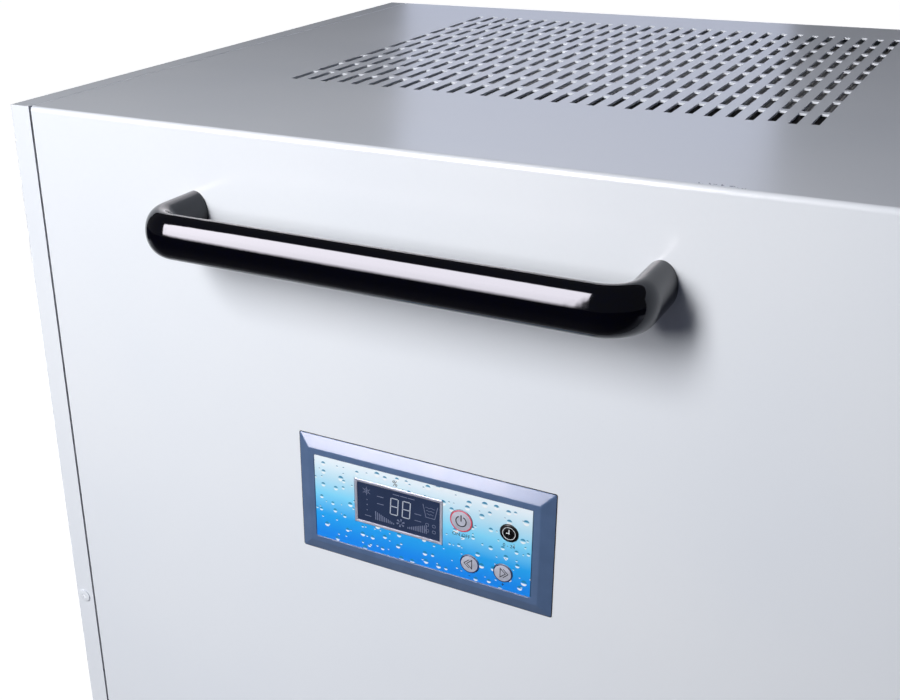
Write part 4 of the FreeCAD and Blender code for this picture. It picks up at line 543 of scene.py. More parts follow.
def printed_film(colours):
    """Polyester panel film, screen printed from behind: white at the top that falls through pale cyan to
    azure, with water drops of two sizes, under a satin hard coat."""
    material, node, shader, place = finish("Polyester film, printed drops", IOR=1.55, Roughness=0.34)
    low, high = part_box("panel_overlay")
    across, _, up = node("SeparateXYZ", place).outputs
    level = node("MapRange", Value=up, From_Min=low[2], From_Max=high[2])
    seen = node("ValToRGB", Fac=level,
                stops=[(0.06, colours.print_bottom), (0.3, "#1EA6F4"), (0.56, colours.print_middle),
                       (0.76, "#BFE6F8"), (0.97, colours.print_top)])
    flat = node("CombineXYZ", across, up)
    for cell, reach, share in ((7.4, (0.14, 0.24), 0.8), (4.6, (0.1, 0.17), 0.36)):
        seen = printed_drops(node, flat, seen, cell, reach, share, colours.drop_shade)
    # A dark line is painted along the film's right edge: painted shade of the narrow gap between the film and
    # the bezel.
    short = node("MapRange", Value=across, From_Min=high[0] - 0.7 * MM, From_Max=high[0] - 0.6 * MM)
    with_gap_shade = node("Mix", Factor=short, A=seen, B="#2A4A66", data_type="RGBA")
    # The hard coat's matting is finer than the print, about 0.3 mm.
    grain = node("TexNoise", Vector=place, Scale=per_mm(0.3))
    bump = node("Bump", Height=grain, Strength=0.04, Distance=0.05 * MM)
    feed(shader, Base_Color=with_gap_shade, Normal=bump)
    return material


def display_window(shade):
    """Smoke-tinted acrylic over a liquid crystal cell: dark and glossy, with its faint grid showing."""
    material, node, shader, place = finish("Acrylic window, smoke tint", IOR=1.49, Roughness=0.16)
    # The cell's grid is drawn at 0.8 mm, coarser than it is, so that it shows.
    grid = node("TexChecker", Vector=place, Scale=per_mm(0.8), Color1=shade,
                Color2=np.multiply(shade, 1.12))
    cloud = node("TexNoise", Vector=place, Scale=per_mm(14), Detail=2.0)
    deep = node("Mix", Factor=cloud, A=grid, B=np.multiply(shade, 0.8), data_type="RGBA")
    feed(shader, Base_Color=deep)
    return material


def galvanised():
    """Hot-dip galvanised sheet: grey zinc frozen in crystals, each leaning its own way, so neighbours
    differ in shade and gloss."""
    material, node, shader, place = finish("Galvanised steel, spangled", Metallic=1.0)
    # Spangles are about 9 mm across.
    spangle = node("TexVoronoi", Vector=place, Scale=per_mm(9))
    lean = node("SeparateColor", spangle.outputs["Color"]).outputs
    tone = node("ValToRGB", Fac=lean["Red"], stops=[(0.0, "#A9AEB3"), (1.0, "#C6CACE")])
    gloss = node("MapRange", Value=lean["Green"], To_Min=0.32, To_Max=0.5)
    feed(shader, Base_Color=tone, Roughness=gloss)
    return material


def woven_screen():
    """Woven wire cloth: two sets of grey wires, over and under, with dark holes between them."""
    material, node, shader, place = finish("Stainless wire cloth, woven", Metallic=0.35, Roughness=0.5)
    # The wires are drawn 1.9 mm apart, coarser than the cloth's own, so that they show; at a scale of one a
    # wave texture repeats every 2 pi / 20.
    period = per_mm(1.9) * 2 * math.pi / 20
    warp, weft = (node("TexWave", Vector=place, Scale=period, bands_direction=way).outputs["Fac"]
                  for way in "XY")
    wires = node("Math", warp, weft, operation="MAXIMUM")
    tone = node("ValToRGB", Fac=wires, stops=[(0.35, "#4B4D54"), (0.85, "#B4B3B2")])
    bump = node("Bump", Height=wires, Strength=0.5, Distance=0.3 * MM)
    feed(shader, Base_Color=tone, Normal=bump)
    return material


def circuit_board():
    """Glass-epoxy board under green lacquer: rows of darker and lighter tracks with a silky gloss."""
    material, node, shader, place = finish("Glass-epoxy board, green lacquer", IOR=1.55, Roughness=0.35)
    # Tracks are drawn 2.5 mm apart so that they show.
    tracks = node("TexBrick", Vector=place, Scale=per_mm(2.5), Mortar_Size=0.12, Color1="#14512E",
                  Color2="#185C36", Mortar="#2C7A4C")
    feed(shader, Base_Color=tracks)
    return material


def make_finishes():
    """Every finish by the record's slot it dresses, and the inks that are printed over them. A grained
    finish has its name, colour, grain, bump strength, drift, patch and range of roughness, and the
    shader's sockets."""
    colours = settings().colours
    return {
        "white_powder_coat": powder_coat(colours.paint),
        "galvanised_sheet": galvanised(),
        # Bright zinc plate: pale blue-white metal with a slight mottle.
        "zinc_steel": grained("Zinc-plated steel, passivated", "#C4C8CE", 0.6, 0.05, 0.05, 12, (0.24, 0.38),
                              Metallic=1.0),
        "black_gloss": gloss_enamel(colours.handle),
        # Spark-eroded mould texture, fine enough to keep a broad sheen on the slopes.
        "slate_plastic": grained("ABS, moulded slate grey", colours.bezel, 0.35, 0.06, 0.05, 8, (0.22, 0.27),
                                 IOR=1.54),
        "printed_film": printed_film(colours),
        # Vacuum-plated plastic: a soft silver with a lilac cast.
        "silver_frame": grained("ABS, plated silver", colours.display_frame, 0.5, 0.04, 0.05, 6,
                                (0.34, 0.42), Metallic=0.55),
        "navy_glass": display_window(colours.display),
        # Silver-grey lacquer on a moulded cap: tiny flakes give a soft sparkle.
        "grey_key": grained("Polycarbonate, silver lacquer", colours.key, 0.4, 0.1, 0.1, 2.5, (0.34, 0.46),
                            IOR=1.58),
        "black_key": grained("Polycarbonate, moulded black", colours.timer_key, 0.4, 0.05, 0.2, 3,
                             (0.22, 0.32), IOR=1.58),
        "circuit_board": circuit_board(),
        "black_plastic": grained("Nylon, moulded black", "#17181B", 0.5, 0.18, 0.2, 15, (0.42, 0.56),
                                 IOR=1.53),
        # Air-dried machine enamel over a drawn steel can: a dull black with runs and dust.
        "motor_paint": grained("Machine enamel on steel, black", "#1C1D20", 2.2, 0.2, 0.22, 30, (0.34, 0.5)),
        "wire_screen": woven_screen(),
        # Open-cell polyurethane: round cells about 1.2 mm across, with no gloss at all.
        "black_foam": grained("Polyurethane foam, open cell", "#131315", 1.2, 0.9, 0.5, 2.4, (0.9, 1.0)),
        "white_plastic": grained("Polypropylene, moulded white", "#DFE2E4", 0.6, 0.1, 0.03, 30, (0.38, 0.5),
                                 Subsurface_Weight=0.08, Subsurface_Radius=(0.004, 0.003, 0.003)),
        # Aluminium foil, pressed on to the tubes: pale metal, a little clouded.
        "fin_aluminium": stained_metal("Aluminium foil fins, pressed", 18, 4.0,
                                       [(0.3, "#B9BDC1"), (0.7, "#DADDE0")], To_Min=0.25, To_Max=0.45),
        # Warm and bright where it was wiped, browner where it has been handled and heated.
        "copper": stained_metal("Copper tube, drawn", 30, 5.0, [(0.32, "#8A5238"), (0.6, "#C9805A")],
                                **FROM_NOISE, To_Min=0.42, To_Max=0.24),
        "black_rubber": grained("Polyurethane tyre, moulded", "#1B1B1D", 0.8, 0.3, 0.25, 10, (0.55, 0.72)),
        # Natural polypropylene: milky, with flow marks, and a little light comes through.
        "tank_plastic": grained("Polypropylene, natural", "#D3DAE0", 0.9, 0.12, 0.04, 45, (0.3, 0.42),
                                IOR=1.49, Subsurface_Weight=0.15, Subsurface_Radius=(0.008, 0.008, 0.009)),
        "filter_plastic": grained("ABS, moulded grey", "#8E959E", 0.5, 0.14, 0.05, 20, (0.4, 0.5), IOR=1.54),
        "filter_cloth": grained("Nylon monofilament, woven", "#3B4047", 0.5, 0.1, 0.15, 12, (0.42, 0.55),
                                IOR=1.53),
        # Screen inks: thin solid films whose cover varies a little, as a squeegee leaves them.
        "ink_black": grained("Screen ink, black", "#101322", 0.3, 0.05, 0.2, 1.5, (0.4, 0.5)),
        "ink_white": grained("Screen ink, white", "#EEF4F8", 0.3, 0.05, 0.03, 1.5, (0.4, 0.5)),
        "ink_navy": grained("Screen ink, navy", "#1C2B5E", 0.3, 0.05, 0.12, 1.5, (0.4, 0.5)),
        "ink_red": grained("Screen ink, rose red", colours.power_ring, 0.3, 0.05, 0.1, 1.5, (0.4, 0.5)),
        "segment_on": grained("Liquid crystal segment, on", colours.digits, 0.4, 0.02, 0.06, 1.2, (0.3, 0.4)),
        "segment_off": grained("Liquid crystal segment, dim", colours.marks, 0.4, 0.02, 0.1, 1.2, (0.3, 0.4)),
    }


# Operators, one for each piece or group of like pieces.

class WATER_OT_finishes(bpy.types.Operator):
    """Make the finishes and put them on every CAD node of the frame"""

    bl_idname = "water.finishes"
    bl_label = "Finishes on the frame"

    def execute(self, context):
        FINISHES.update(make_finishes())
        for name, thing in frame["nodes"].items():
            for holder in thing.material_slots:
                holder.material = FINISHES[SLOT_OF[name]]
        return {"FINISHED"}


class WATER_OT_handle(bpy.types.Operator):
    """Bend the enamelled pull handle: an oval bar with a leg to the panel at each end"""

    bl_idname = "water.handle"
    bl_label = "Pull handle"

    def execute(self, context):
        sizes = settings().sizes
        low, high = corners("pull_handle")
        bend = sizes.handle_bend
        radius = sizes.handle_depth / 2
        stretch = (high[2] - low[2]) / 2 / radius
        left, right, bar = low[0] + radius, high[0] - radius, low[1] + radius
        quarter = np.linspace(0, np.pi / 2, 25)
        leg = stacked(left, np.linspace(face_of("front_panel"), bar + bend, 6, endpoint=False))
        turn = stacked(left + bend * (1 - np.cos(quarter)), bar + bend * (1 - np.sin(quarter)))
        run = stacked(np.linspace(left + bend, right - bend, 42)[1:-1], bar)
        half = np.concatenate([leg, turn])
        other = half[::-1] * (-1, 1) + (left + right, 0)
        x, y = np.concatenate([half, run, other]).T
        path = stacked(x, y, (low[2] + high[2]) / 2)
        piece("pull_handle_bar", tube(path, radius, (0, 0, 1), sizes.turns, stretch), "black_gloss",
              replaced=["pull_handle"], crease=60)
        return {"FINISHED"}


class WATER_OT_seams(bpy.types.Operator):
    """Fill the seams beside the top panel with sealer and back those beside the front with dark strips of
    painted shade
    """

    bl_idname = "water.seams"
    bl_label = "Seams"

    def execute(self, context):
        low, high = corners("front_panel")
        _, back, top = corners("top_panel")[1]
        width = settings().sizes.seam
        radius = width / 2
        beads, seam_shade_strips = [], []
        for across in (low[0] - radius, high[0] + radius):
            path = stacked(across, np.linspace(low[1] + 2 * width, back, 3), top - radius)
            beads.append(tube(path, radius, (0, 0, 1), 16))
            seam_shade_strips.append((across, low[1] + 1.3 * width, (low[2] + high[2]) / 2 - width))
        piece("top_seam_sealer", joined(beads), "white_powder_coat")
        size = (width * 0.9, width * 0.7, high[2] - low[2] - 4 * width)
        # The dark strips behind the front seams are painted shade: they stand for the shade deep inside the
        # gaps.
        piece("front_seam_shade_strips", blocks(seam_shade_strips, size), "black_foam")
        return {"FINISHED"}


class WATER_OT_bezel(bpy.types.Operator):
    """Mould the bezel: a rim, a sloping band, a flat land and a softened edge down to the print"""

    bl_idname = "water.bezel"
    bl_label = "Key panel bezel"

    def execute(self, context):
        sizes = settings().sizes
        node = "control_bezel"
        face = face_of("front_panel")
        top = face_of(node)
        opening = (span(node)[0] - span("panel_overlay")[0]) / 2
        band = sizes.bezel_bevel
        soft = 0.3 * MM
        base = face - sizes.bezel_rim
        profile = [(0, face), (0, base + soft), (soft * 0.4, base + soft * 0.2),
                   (soft * 1.6, base - soft * 0.3), (band - soft * 2, top + soft * 0.7),
                   (band - soft * 0.4, top + soft * 0.12), (band + soft, top), (opening - soft, top),
                   (opening - soft * 0.3, top + soft * 0.3), (opening, top + soft), (opening, face)]
        # The dark strip that shows just outside the bezel's edge is painted shade of the gap round the bezel.
        out = -sizes.bezel_shade_strip
        shade_strip_profile = [(out, face), (out, base + soft), (soft, base + soft), (soft, face)]
        corner = sizes.bezel_corner
        piece("bezel_shade_strip", framed(node, shade_strip_profile, corner, corner), "black_foam")
        piece("key_panel_bezel", framed(node, profile, corner, 0.9 * MM), "slate_plastic", replaced=[node],
              crease=14)
        return {"FINISHED"}


class WATER_OT_display(bpy.types.Operator):
    """Frame the display and lay its digits, bars and symbols on the window"""

    bl_idname = "water.display"
    bl_label = "Display"

    def execute(self, context):
        node = "display_frame"
        seat = face_of("display_glass") + 0.2 * MM
        top = face_of(node)
        rim = (span(node)[0] - span("display_glass")[0]) / 2
        profile = [(0, seat), (0, top + 0.15 * MM), (0.15 * MM, top), (rim * 0.7, top),
                   (rim, top + 0.12 * MM), (rim, seat)]
        piece("display_rim", framed(node, profile, 0.5 * MM, 0.25 * MM), "silver_frame", replaced=[node],
              crease=30)
        levels = print_levels("display_glass")
        corner = corners("display_glass")[0][[0, 2]]
        extent = span("display_glass")[[0, 2]]

        def spot(across, up):
            """A point of the window, as shares of its width and height."""
            return corner + extent * (across, up)

        piece("display_digits", self.digits(spot(0.41, 0.36), spot(0.645, 0.8), *levels), "navy_glass",
              "segment_on")
        piece("display_symbols", joined(self.symbols(spot, levels)), "navy_glass", "segment_off")
        return {"FINISHED"}

    def digits(self, low, high, back, front):
        """Two eights of seven bars each, leaning a little: blocks whose x grows with their height."""
        stroke = settings().sizes.digit_stroke
        tall = high[1] - low[1]
        wide = (high[0] - low[0]) * 0.38
        gap = stroke * 0.35
        lean = 0.06
        bars = np.array([[0, 0], [0, 0.5], [0, 1], [-0.5, 0.25], [-0.5, 0.75], [0.5, 0.25], [0.5, 0.75]])
        lying = bars[:, 0] == 0
        across = np.where(lying, wide - stroke - gap, stroke)
        upright = np.where(lying, stroke, tall / 2 - stroke / 2 - gap)
        centres = bars * (wide, tall - stroke) + (0, stroke / 2)
        places = np.concatenate([centres + (x, low[1]) for x in (low[0] + wide / 2, high[0] - wide / 2)])
        shape = np.tile(stacked(across, back - front, upright), (2, 1))
        points, faces = blocks(at_level(places, (back + front) / 2), shape)
        points[:, 0] += lean * (points[:, 2] - (low[1] + high[1]) / 2)
        return points, faces

    def symbols(self, spot, levels):
        """Dim marks: two fans of level bars, a fan wheel, a frost star with its row of dots, short
        dashes, a filling bucket and four small boxes."""
        back, front = levels
        stroke = 0.4 * MM
        step = np.arange(11)
        tall = (5.0 - 0.41 * step) * MM
        for side, start in ((1, spot(0.225, 0.11)), (-1, spot(0.84, 0.11))):
            across = start[0] + side * step * 1.05 * MM
            yield blocks(stacked(across, (back + front) / 2, start[1] + tall / 2),
                         stacked(0.5 * MM, back - front, tall))
        wheel = spot(0.53, 0.2)
        for heading in range(0, 360, 60):
            yield plate(np.concatenate([arc(wheel, 0.7 * MM, heading, heading + 20, 5),
                                        arc(wheel, 2.4 * MM, heading + 34, heading + 8, 8)]), *levels)
        star = spot(0.115, 0.8)
        yield circle_line(star, 1.3 * MM, stroke * 0.5, *levels)
        for heading in (90, 150, 210):
            yield ribbon(arc(star, 2.5 * MM, heading, heading + 180, 2), stroke * 0.7, *levels)
        for up in (0.58, 0.45, 0.31):
            yield disc(spot(0.12, up), 0.32 * MM, *levels, 12)
        for left, up in ((0.245, 0.74), (0.245, 0.55), (0.7, 0.55), (0.7, 0.38), (0.09, 0.16), (0.44, 0.9),
                         (0.53, 0.9), (0.62, 0.9)):
            yield ribbon([spot(left, up), spot(left + 0.08, up)], stroke * 0.9, *levels)
        bucket = [spot(0.8, 0.86), spot(0.835, 0.54), spot(0.94, 0.54), spot(0.975, 0.86)]
        yield ribbon(bucket, stroke * 0.8, *levels)
        sway = np.linspace(0, 4 * np.pi, 33)
        for up in (0.79, 0.71, 0.63):
            inset = (0.87 - up) * 0.11
            across = np.linspace(spot(0.82 + inset, 0)[0], spot(0.95 - inset, 0)[0], len(sway))
            wave = stacked(across, spot(0, up)[1] + 0.22 * MM * np.sin(sway))
            yield ribbon(wave, stroke * 0.6, *levels)
        for place in ((0.85, 0.35), (0.85, 0.2), (0.93, 0.35), (0.93, 0.2)):
            outline = rounded_outline(1.7 * MM, 1.5 * MM, 0.4 * MM, spot(*place), 3)
            yield ribbon(outline, stroke * 0.6, *levels, close=True)


class WATER_OT_keys(bpy.types.Operator):
    """Turn the four key caps and print their symbols, each riding on its own button"""

    bl_idname = "water.keys"
    bl_label = "Keys"

    def execute(self, context):
        for name in KEYS:
            self.round_key(name, f"{name}_key", f"{name}_button")
        return {"FINISHED"}

    def round_key(self, name, node, button):
        """One key: a cap with a softened edge, a ring near its rim and the lines of its symbol."""
        sizes = settings().sizes
        slot = SLOT_OF[node]
        x, _, z = middle(node)
        seat = face_of("panel_overlay")
        radius = span(node)[0] / 2 - sizes.key_flange
        proud = seat - face_of(node)
        cap = [(radius, -proud), (radius, proud - 0.25 * MM), (radius - 0.08 * MM, proud - 0.08 * MM),
               (radius - 0.3 * MM, proud), (radius * 0.02, proud)]
        piece(f"{node}_cap", turned(cap, (x, seat, z), (0, -1, 0), sizes.turns), slot, body=button,
              replaced=[node], crease=50)
        flat = np.array([x, z])
        levels = print_levels(node)
        stroke = sizes.stroke
        if name == "power":
            ring = circle_line(flat, radius - 0.32 * MM, 0.6 * MM, *levels)
            pivot = flat - (0, 0.2 * MM)
            mark = [ribbon(arc(pivot, 2.8 * MM, 115, 425), stroke, *levels),
                    ribbon([pivot, flat + (0, 3.4 * MM)], stroke, *levels)]
            inks = ("ink_red", "ink_black")
        elif name == "timer":
            ring = circle_line(flat, 3.3 * MM, 0.24 * MM, *levels)
            back, front = levels
            mark = [ribbon([flat + (0, 2.2 * MM), flat, flat - (1.6 * MM, 0)], stroke * 0.6, *levels),
                    disc(flat, 0.4 * MM, back, front - 0.005 * MM, 20)]
            inks = ("ink_white", "ink_white")
        else:
            way = np.array([-MM if name == "left" else MM, MM])
            ring = circle_line(flat, radius - 0.25 * MM, 0.48 * MM, *levels)
            arrow = flat + way * [[-1.3, 2.5], [-1.3, -2.5], [1.5, 0]]
            trail = flat + way * [[0.3, 2.4], [2.9, 0], [0.3, -2.4]]
            mark = [ribbon(arrow, stroke * 0.7, *levels, close=True), ribbon(trail, stroke * 0.7, *levels)]
            inks = ("ink_navy", "ink_black")
        piece(f"{node}_ring", ring, slot, inks[0], button)
        piece(f"{node}_symbol", joined(mark), slot, inks[1], button)


class WATER_OT_print(bpy.types.Operator):
    """Print the plain marks beside the keys and display"""

    bl_idname = "water.print"
    bl_label = "Panel print"

    def execute(self, context):
        levels = print_levels("panel_overlay")
        window = middle("display_frame")[0]
        above = corners("display_frame")[1][2]
        words = [lettering("%", 4.4 * MM, (window - 1.5 * MM, above + 2.7 * MM), *levels)]
        for key, text, drop, size in (("power_key", "ON OFF", 8.2, 2.7), ("timer_key", "0 - 24", 7.3, 2.7),
                                      ("left_key", "-", 6.9, 3.6), ("right_key", "+", 6.9, 3.6)):
            words.append(lettering(text, size * MM, middle(key)[[0, 2]] - (0, drop * MM), *levels))
        piece("panel_marks", joined(words), "printed_film", "ink_black")
        return {"FINISHED"}


class WATER_OT_screws(bpy.types.Operator):
    """Press the painted screw heads: low domes with a cross recess"""

    bl_idname = "water.screws"
    bl_label = "Panel screws"

    def execute(self, context):
        points = points_of(frame["nodes"]["panel_screws"].data)
        # Screws stand far apart, so the points in one cell of this size, front or back, are one screw's.
        apart = 60 * MM
        cell = np.round(points[:, [0, 2]] / apart).astype(int)
        _, group = np.unique(np.column_stack([cell, points[:, 1] > 0]), axis=0, return_inverse=True)
        heads = []
        for index in range(group.max() + 1):
            own = points[group.ravel() == index]
            low, high = own.min(axis=0), own.max(axis=0)
            outward = 1 if low[1] > 0 else -1
            rim = high[1] if outward > 0 else low[1]
            heads.append(self.head((low + high) / 2, rim, outward, (high[0] - low[0]) / 2))
        piece("panel_screw_heads", joined(heads), "white_powder_coat", replaced=["panel_screws"], crease=40)
        return {"FINISHED"}

    def head(self, centre, rim, outward, radius):
        """A dome on a polar grid: its height falls with the square of the radius, less a pit along two
        crossed arms that fades towards their tips and sides."""
        rise, fall = 0.7 * MM, 0.55
        pit, wide, edge, tip = 0.3 * MM, 0.5 * MM, 0.2 * MM, 0.9 * MM
        arm = settings().sizes.screw_cross / 2
        share = np.concatenate([np.linspace(0.02, 0.96, 16), [1.0, 1.0]])[:, None]
        x, z = (share * radius * way for way in around(48))
        cut = [np.clip((wide - np.abs(side)) / edge, 0, 1) * np.clip((arm - np.abs(along)) / tip, 0, 1)
               for side, along in ((x, z), (z, x))]
        height = rise * (1 - fall * share ** 2) - pit * np.maximum(*cut)
        height[-1] = 0
        return skin(stacked(centre[0] + x, rim + outward * (height - rise), centre[2] + z))


class WATER_OT_filter(bpy.types.Operator):
    """Stretch the woven wires of the air filter across its frame"""

    bl_idname = "water.filter"
    bl_label = "Air filter mesh"

    def execute(self, context):
        sizes = settings().sizes
        reach = span("filter_mesh")
        # Upright wires lie in front of the mesh's middle by this share of a wire, and level ones behind it.
        offset = 0.28
        lines = []
        for axis, side in ((0, -offset), (2, offset)):
            count = round(reach[axis] / sizes.wire_pitch)
            centres = np.tile(middle("filter_mesh"), (count, 1))
            centres[:, axis] += (np.arange(count) - (count - 1) / 2) * sizes.wire_pitch
            centres[:, 1] += side * sizes.wire
            shape = np.full(3, sizes.wire)
            shape[2 - axis] = reach[2 - axis]
            lines.append(blocks(centres, shape))
        piece("filter_wires", joined(lines), "filter_cloth", body="filter", replaced=["filter_mesh"])
        return {"FINISHED"}


class WATER_OT_casters(bpy.types.Operator):
    """Mould the four caster wheels: a grooved tyre on a dished hub"""

    bl_idname = "water.casters"
    bl_label = "Caster wheels"

    def execute(self, context):
        for name in CASTERS:
            node = f"caster_wheel_{name}"
            half, _, radius = span(node) / 2
            bore, dish, step = 4.2 * MM, 2.4 * MM, 0.6 * MM
            side = [(bore, half), (bore + 3 * MM, half), (bore + 3.6 * MM, half - step),
                    (bore + 4 * MM, half - dish), (radius * 0.66, half - dish), (radius * 0.7, half - step),
                    (radius * 0.74, half * 0.97), (radius * 0.86, half * 0.95), (radius * 0.95, half * 0.8),
                    (radius, half * 0.55), (radius, 1.1 * MM), (radius - 0.9 * MM, 0.35 * MM)]
            profile = [(out, -offset) for out, offset in side] + side[::-1]
            wheel = turned(profile, middle(node), (1, 0, 0), settings().sizes.turns, close=True)
            piece(f"caster_tyre_{name}", wheel, "black_rubber", body=f"wheel_{name}", replaced=[node],
                  crease=32)
        return {"FINISHED"}


class WATER_OT_stage(bpy.types.Operator):
    """Set up the pale floor, the soft lamps, the white surround and the camera"""

    bl_idname = "water.stage"
    bl_label = "Studio"

    def execute(self, context):
        stage = settings().stage
        self.floor(stage)
        self.surround(stage)
        self.diffuser(stage)
        self.lamp("key", (-0.45, -1.45, 1.61), (-0.2, -0.2, 0.9), (0.4, 0.95), stage.key_power,
                  "#FFFFFF", 120)
        self.lamp("back_panel", (-0.925, 2.5, 1.6), (-0.925, 0.0, 1.2), (1.09, 1.6), stage.back_power,
                  "#DCE4FF", hidden="diffuse")
        self.lamp("low_fill", (0.0, -2.4, 0.15), (0.0, -0.2, 0.15), (0.5, 0.3), stage.fill_power,
                  "#F2F5FF", 26)
        for name, place in (("left", (-2.4, 0.75, 0.7)), ("right", (2.4, 0.75, 0.7)),
                            ("back", (0.5, 2.5, 0.8))):
            self.lamp(name, place, (0.0, 0.1, 0.6), (1.6, 1.0), stage.side_power, "#F2F5FF")
        self.camera(stage)
        context.scene.view_settings.view_transform = "Standard"
        return {"FINISHED"}

    def scenery(self, name, points, faces, material):
        """A mesh of the studio, which is no piece of the machine."""
        mesh = bpy.data.meshes.new(name)
        mesh.from_pydata(points, [], faces)
        mesh.materials.append(material)
        made = bpy.data.objects.new(name, mesh)
        bpy.context.scene.collection.objects.link(made)
        made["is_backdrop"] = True
        return made

    def floor(self, stage):
        """A square sheet of pale paper that keeps shadows; the camera sees a share of its white unlit."""
        half = 9.0
        material, node, shader, place = finish("Seamless paper, white", Roughness=0.9,
                                               Emission_Color=(1, 1, 1))
        fibre = node("TexNoise", Vector=place, Scale=per_mm(3), Detail=2.0)
        tone = node("ValToRGB", Fac=fibre, stops=[(NOISE_LOW, "#848484"), (NOISE_HIGH, "#8A8A8A")])
        seen = node("LightPath").outputs
        # The paper runs out to plain white well away from the machine, where none of its shadow falls.
        away = node("VectorMath", place, operation="LENGTH")
        swept = node("MapRange", Value=away, From_Min=1.2, From_Max=3.2, To_Min=stage.floor_lift,
                     To_Max=1.0)
        lift = node("Math", seen["Is Camera Ray"], swept, operation="MULTIPLY")
        # Gloss sees the floor before the machine as if black flags shaded it, so the handle stays black.
        ahead = node("SeparateXYZ", place).outputs["Y"]
        flagged = node("MapRange", Value=ahead, From_Min=-0.2, From_Max=-0.5, To_Max=0.9)
        shaded = node("Math", flagged, seen["Is Glossy Ray"], operation="MULTIPLY")
        paper = node("Mix", Factor=shaded, A=tone, B=(0, 0, 0), data_type="RGBA")
        feed(shader, Base_Color=paper, Emission_Strength=lift)
        square = [(-half, -half, 0), (half, -half, 0), (half, half, 0), (-half, half, 0)]
        self.scenery("floor", square, [(0, 1, 2, 3)], material)

    def diffuser(self, stage):
        """A glowing curtain that only gloss mirrors, part of a barrel one metre round the handle's bar,
        so that the bar shows it as one band: the angle goes from the lower edge to the upper one with
        rise, both edges draw together towards the left end as exp(-across), and the right end leans."""
        left_end, width, lean, narrowing = -0.95, 0.797, 0.075, 0.15
        across, rise = np.meshgrid(np.linspace(0, 1, 49), np.linspace(0, 1, 33), indexing="ij")
        spread = 1 - np.exp(-across / narrowing)
        lower = np.radians(2 - 9 * spread)
        upper = np.radians(46 + 12 * spread)
        angle = lower + (upper - lower) * rise
        bar = face_of("pull_handle") + settings().sizes.handle_depth / 2
        points = stacked(left_end + (width - lean * (1 - rise)) * across, bar - np.cos(angle),
                         middle("pull_handle")[2] + np.sin(angle))
        count = np.arange(across.size).reshape(across.shape)
        quads = stacked(count[:-1, :-1], count[1:, :-1], count[1:, 1:], count[:-1, 1:])
        material, node, _, _ = finish("Diffuser cloth, lit from behind")
        level = node("Attribute", attribute_name="glow").outputs["Fac"]
        cloth = node("Emission", Color="#FFF5F5", Strength=level)
        feed(material.node_tree.nodes["Material Output"], Surface=cloth)
        curtain = self.scenery("diffuser", points.reshape(-1, 3).tolist(), quads.reshape(-1, 4).tolist(),
                               material)
        # Brightest in its upper half, and soft along the lower edge, the upper edge and the right end.
        shares = (rise / 0.16, (1 - rise) / 0.05, (1 - across) / 0.03)
        fade = np.prod([np.clip(share, 0, 1) for share in shares], axis=0)
        glow = stage.strip_glow * (0.84 + 0.16 * np.clip(rise / 0.5, 0, 1)) * fade
        curtain.data.attributes.new("glow", "FLOAT", "POINT").data.foreach_set("value", glow.ravel())
        for ray in ("camera", "diffuse", "transmission", "volume_scatter", "shadow"):
            setattr(curtain, f"visible_{ray}", False)

    def surround(self, stage):
        """White to the camera and through glass, the same white toned down in gloss and metal, as a room
        round the studio would be, so black enamel stays black, and a low even light on all else."""
        world = bpy.data.worlds.new("White surround")
        world.use_nodes = True
        tree = world.node_tree
        node = partial(add_node, tree)
        seen = node("LightPath").outputs
        glossy = seen["Is Glossy Ray"]
        clear = node("Math", seen["Is Camera Ray"], seen["Is Transmission Ray"], operation="MAXIMUM")
        toned = node("Math", glossy, stage.mirrored, operation="MULTIPLY")
        level = node("Math", clear, toned, operation="MAXIMUM")
        shown = node("Math", clear, glossy, operation="MAXIMUM")
        white = node("Background", (1, 1, 1), level)
        ambient = tree.nodes["Background"]
        feed(ambient, Color=stage.ambient_tint, Strength=stage.ambient)
        feed(tree.nodes["World Output"], Surface=node("MixShader", shown, ambient, white))
        bpy.context.scene.world = world

    def lamp(self, name, place, target, size, power, code, spread=180, hidden="glossy"):
        """A rectangular softbox at a place, turned to a target, that the camera doesn't see. Bends and
        flat sides would show it as a hard spot, so it is hidden from gloss, or from diffuse rays if it is
        there for gloss."""
        light = bpy.data.lights.new(name, "AREA")
        light.shape = "RECTANGLE"
        light.size, light.size_y = size
        light.energy = power
        light.color = linear(code)
        light.spread = math.radians(spread)
        holder = bpy.data.objects.new(name, light)
        holder.location = place
        holder.rotation_euler = (Vector(target) - Vector(place)).to_track_quat("-Z", "Y").to_euler()
        for ray in ("camera", hidden):
            setattr(holder, f"visible_{ray}", False)
        bpy.context.scene.collection.objects.link(holder)

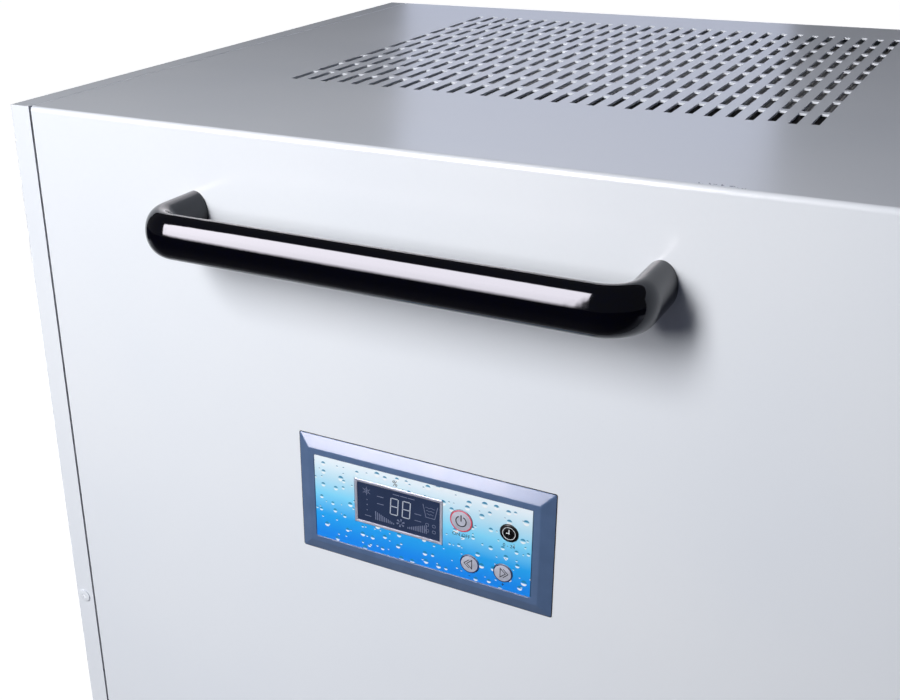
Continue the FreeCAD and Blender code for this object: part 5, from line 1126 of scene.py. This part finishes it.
    def camera(self, stage):
        """The viewpoint above the front's right half, looking down to the left: its place and axes."""
        place = (0.2427, -0.6730, 1.1039)
        right = (0.86580, 0.49988, -0.02243)
        up = (-0.18482, 0.36113, 0.91402)
        back = (0.46500, -0.78721, 0.40506)
        lens = bpy.data.cameras.new("viewpoint")
        lens.lens = stage.lens
        lens.sensor_width = 36
        lens.shift_x = 0.1023
        lens.shift_y = 0.0120
        lens.clip_start = 0.01
        holder = bpy.data.objects.new("viewpoint", lens)
        holder.matrix_world = Matrix.Translation(place) @ Matrix((right, up, back)).transposed().to_4x4()
        bpy.context.scene.collection.objects.link(holder)
        bpy.context.scene.camera = holder


OPERATORS = (WATER_OT_finishes, WATER_OT_handle, WATER_OT_seams, WATER_OT_bezel, WATER_OT_display,
             WATER_OT_keys, WATER_OT_print, WATER_OT_screws, WATER_OT_filter, WATER_OT_casters,
             WATER_OT_stage)


class WATER_PT_panel(bpy.types.Panel):
    """Lists the pieces in the 3D view's sidebar"""

    bl_idname = "WATER_PT_panel"
    bl_label = "Water generator"
    bl_space_type = "VIEW_3D"
    bl_region_type = "UI"
    bl_category = "Water"

    def draw(self, context):
        for operator in OPERATORS:
            self.layout.operator(operator.bl_idname)
        for group in (settings().sizes, settings().colours, settings().stage):
            box = self.layout.box()
            for name in group.__annotations__:
                box.prop(group, name)


CLASSES = (WaterSizes, WaterColours, WaterStage, WaterSettings, *OPERATORS, WATER_PT_panel)


def register():
    """Registers the classes and keeps the settings on the scene."""
    for kind in CLASSES:
        bpy.utils.register_class(kind)
    bpy.types.Scene.water_generator = PointerProperty(type=WaterSettings)


def unregister():
    """Takes the settings and the classes away again."""
    del bpy.types.Scene.water_generator
    for kind in reversed(CLASSES):
        bpy.utils.unregister_class(kind)


def main():
    register()
    for operator in OPERATORS:
        family, name = operator.bl_idname.split(".")
        getattr(getattr(bpy.ops, family), name)()
    boxes = {"cad": CAD_BOX, "visual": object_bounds()}
    {name: [list(map(float, corner)) for corner in box] for name, box in boxes.items()}


if __name__ == "__main__":
    main()
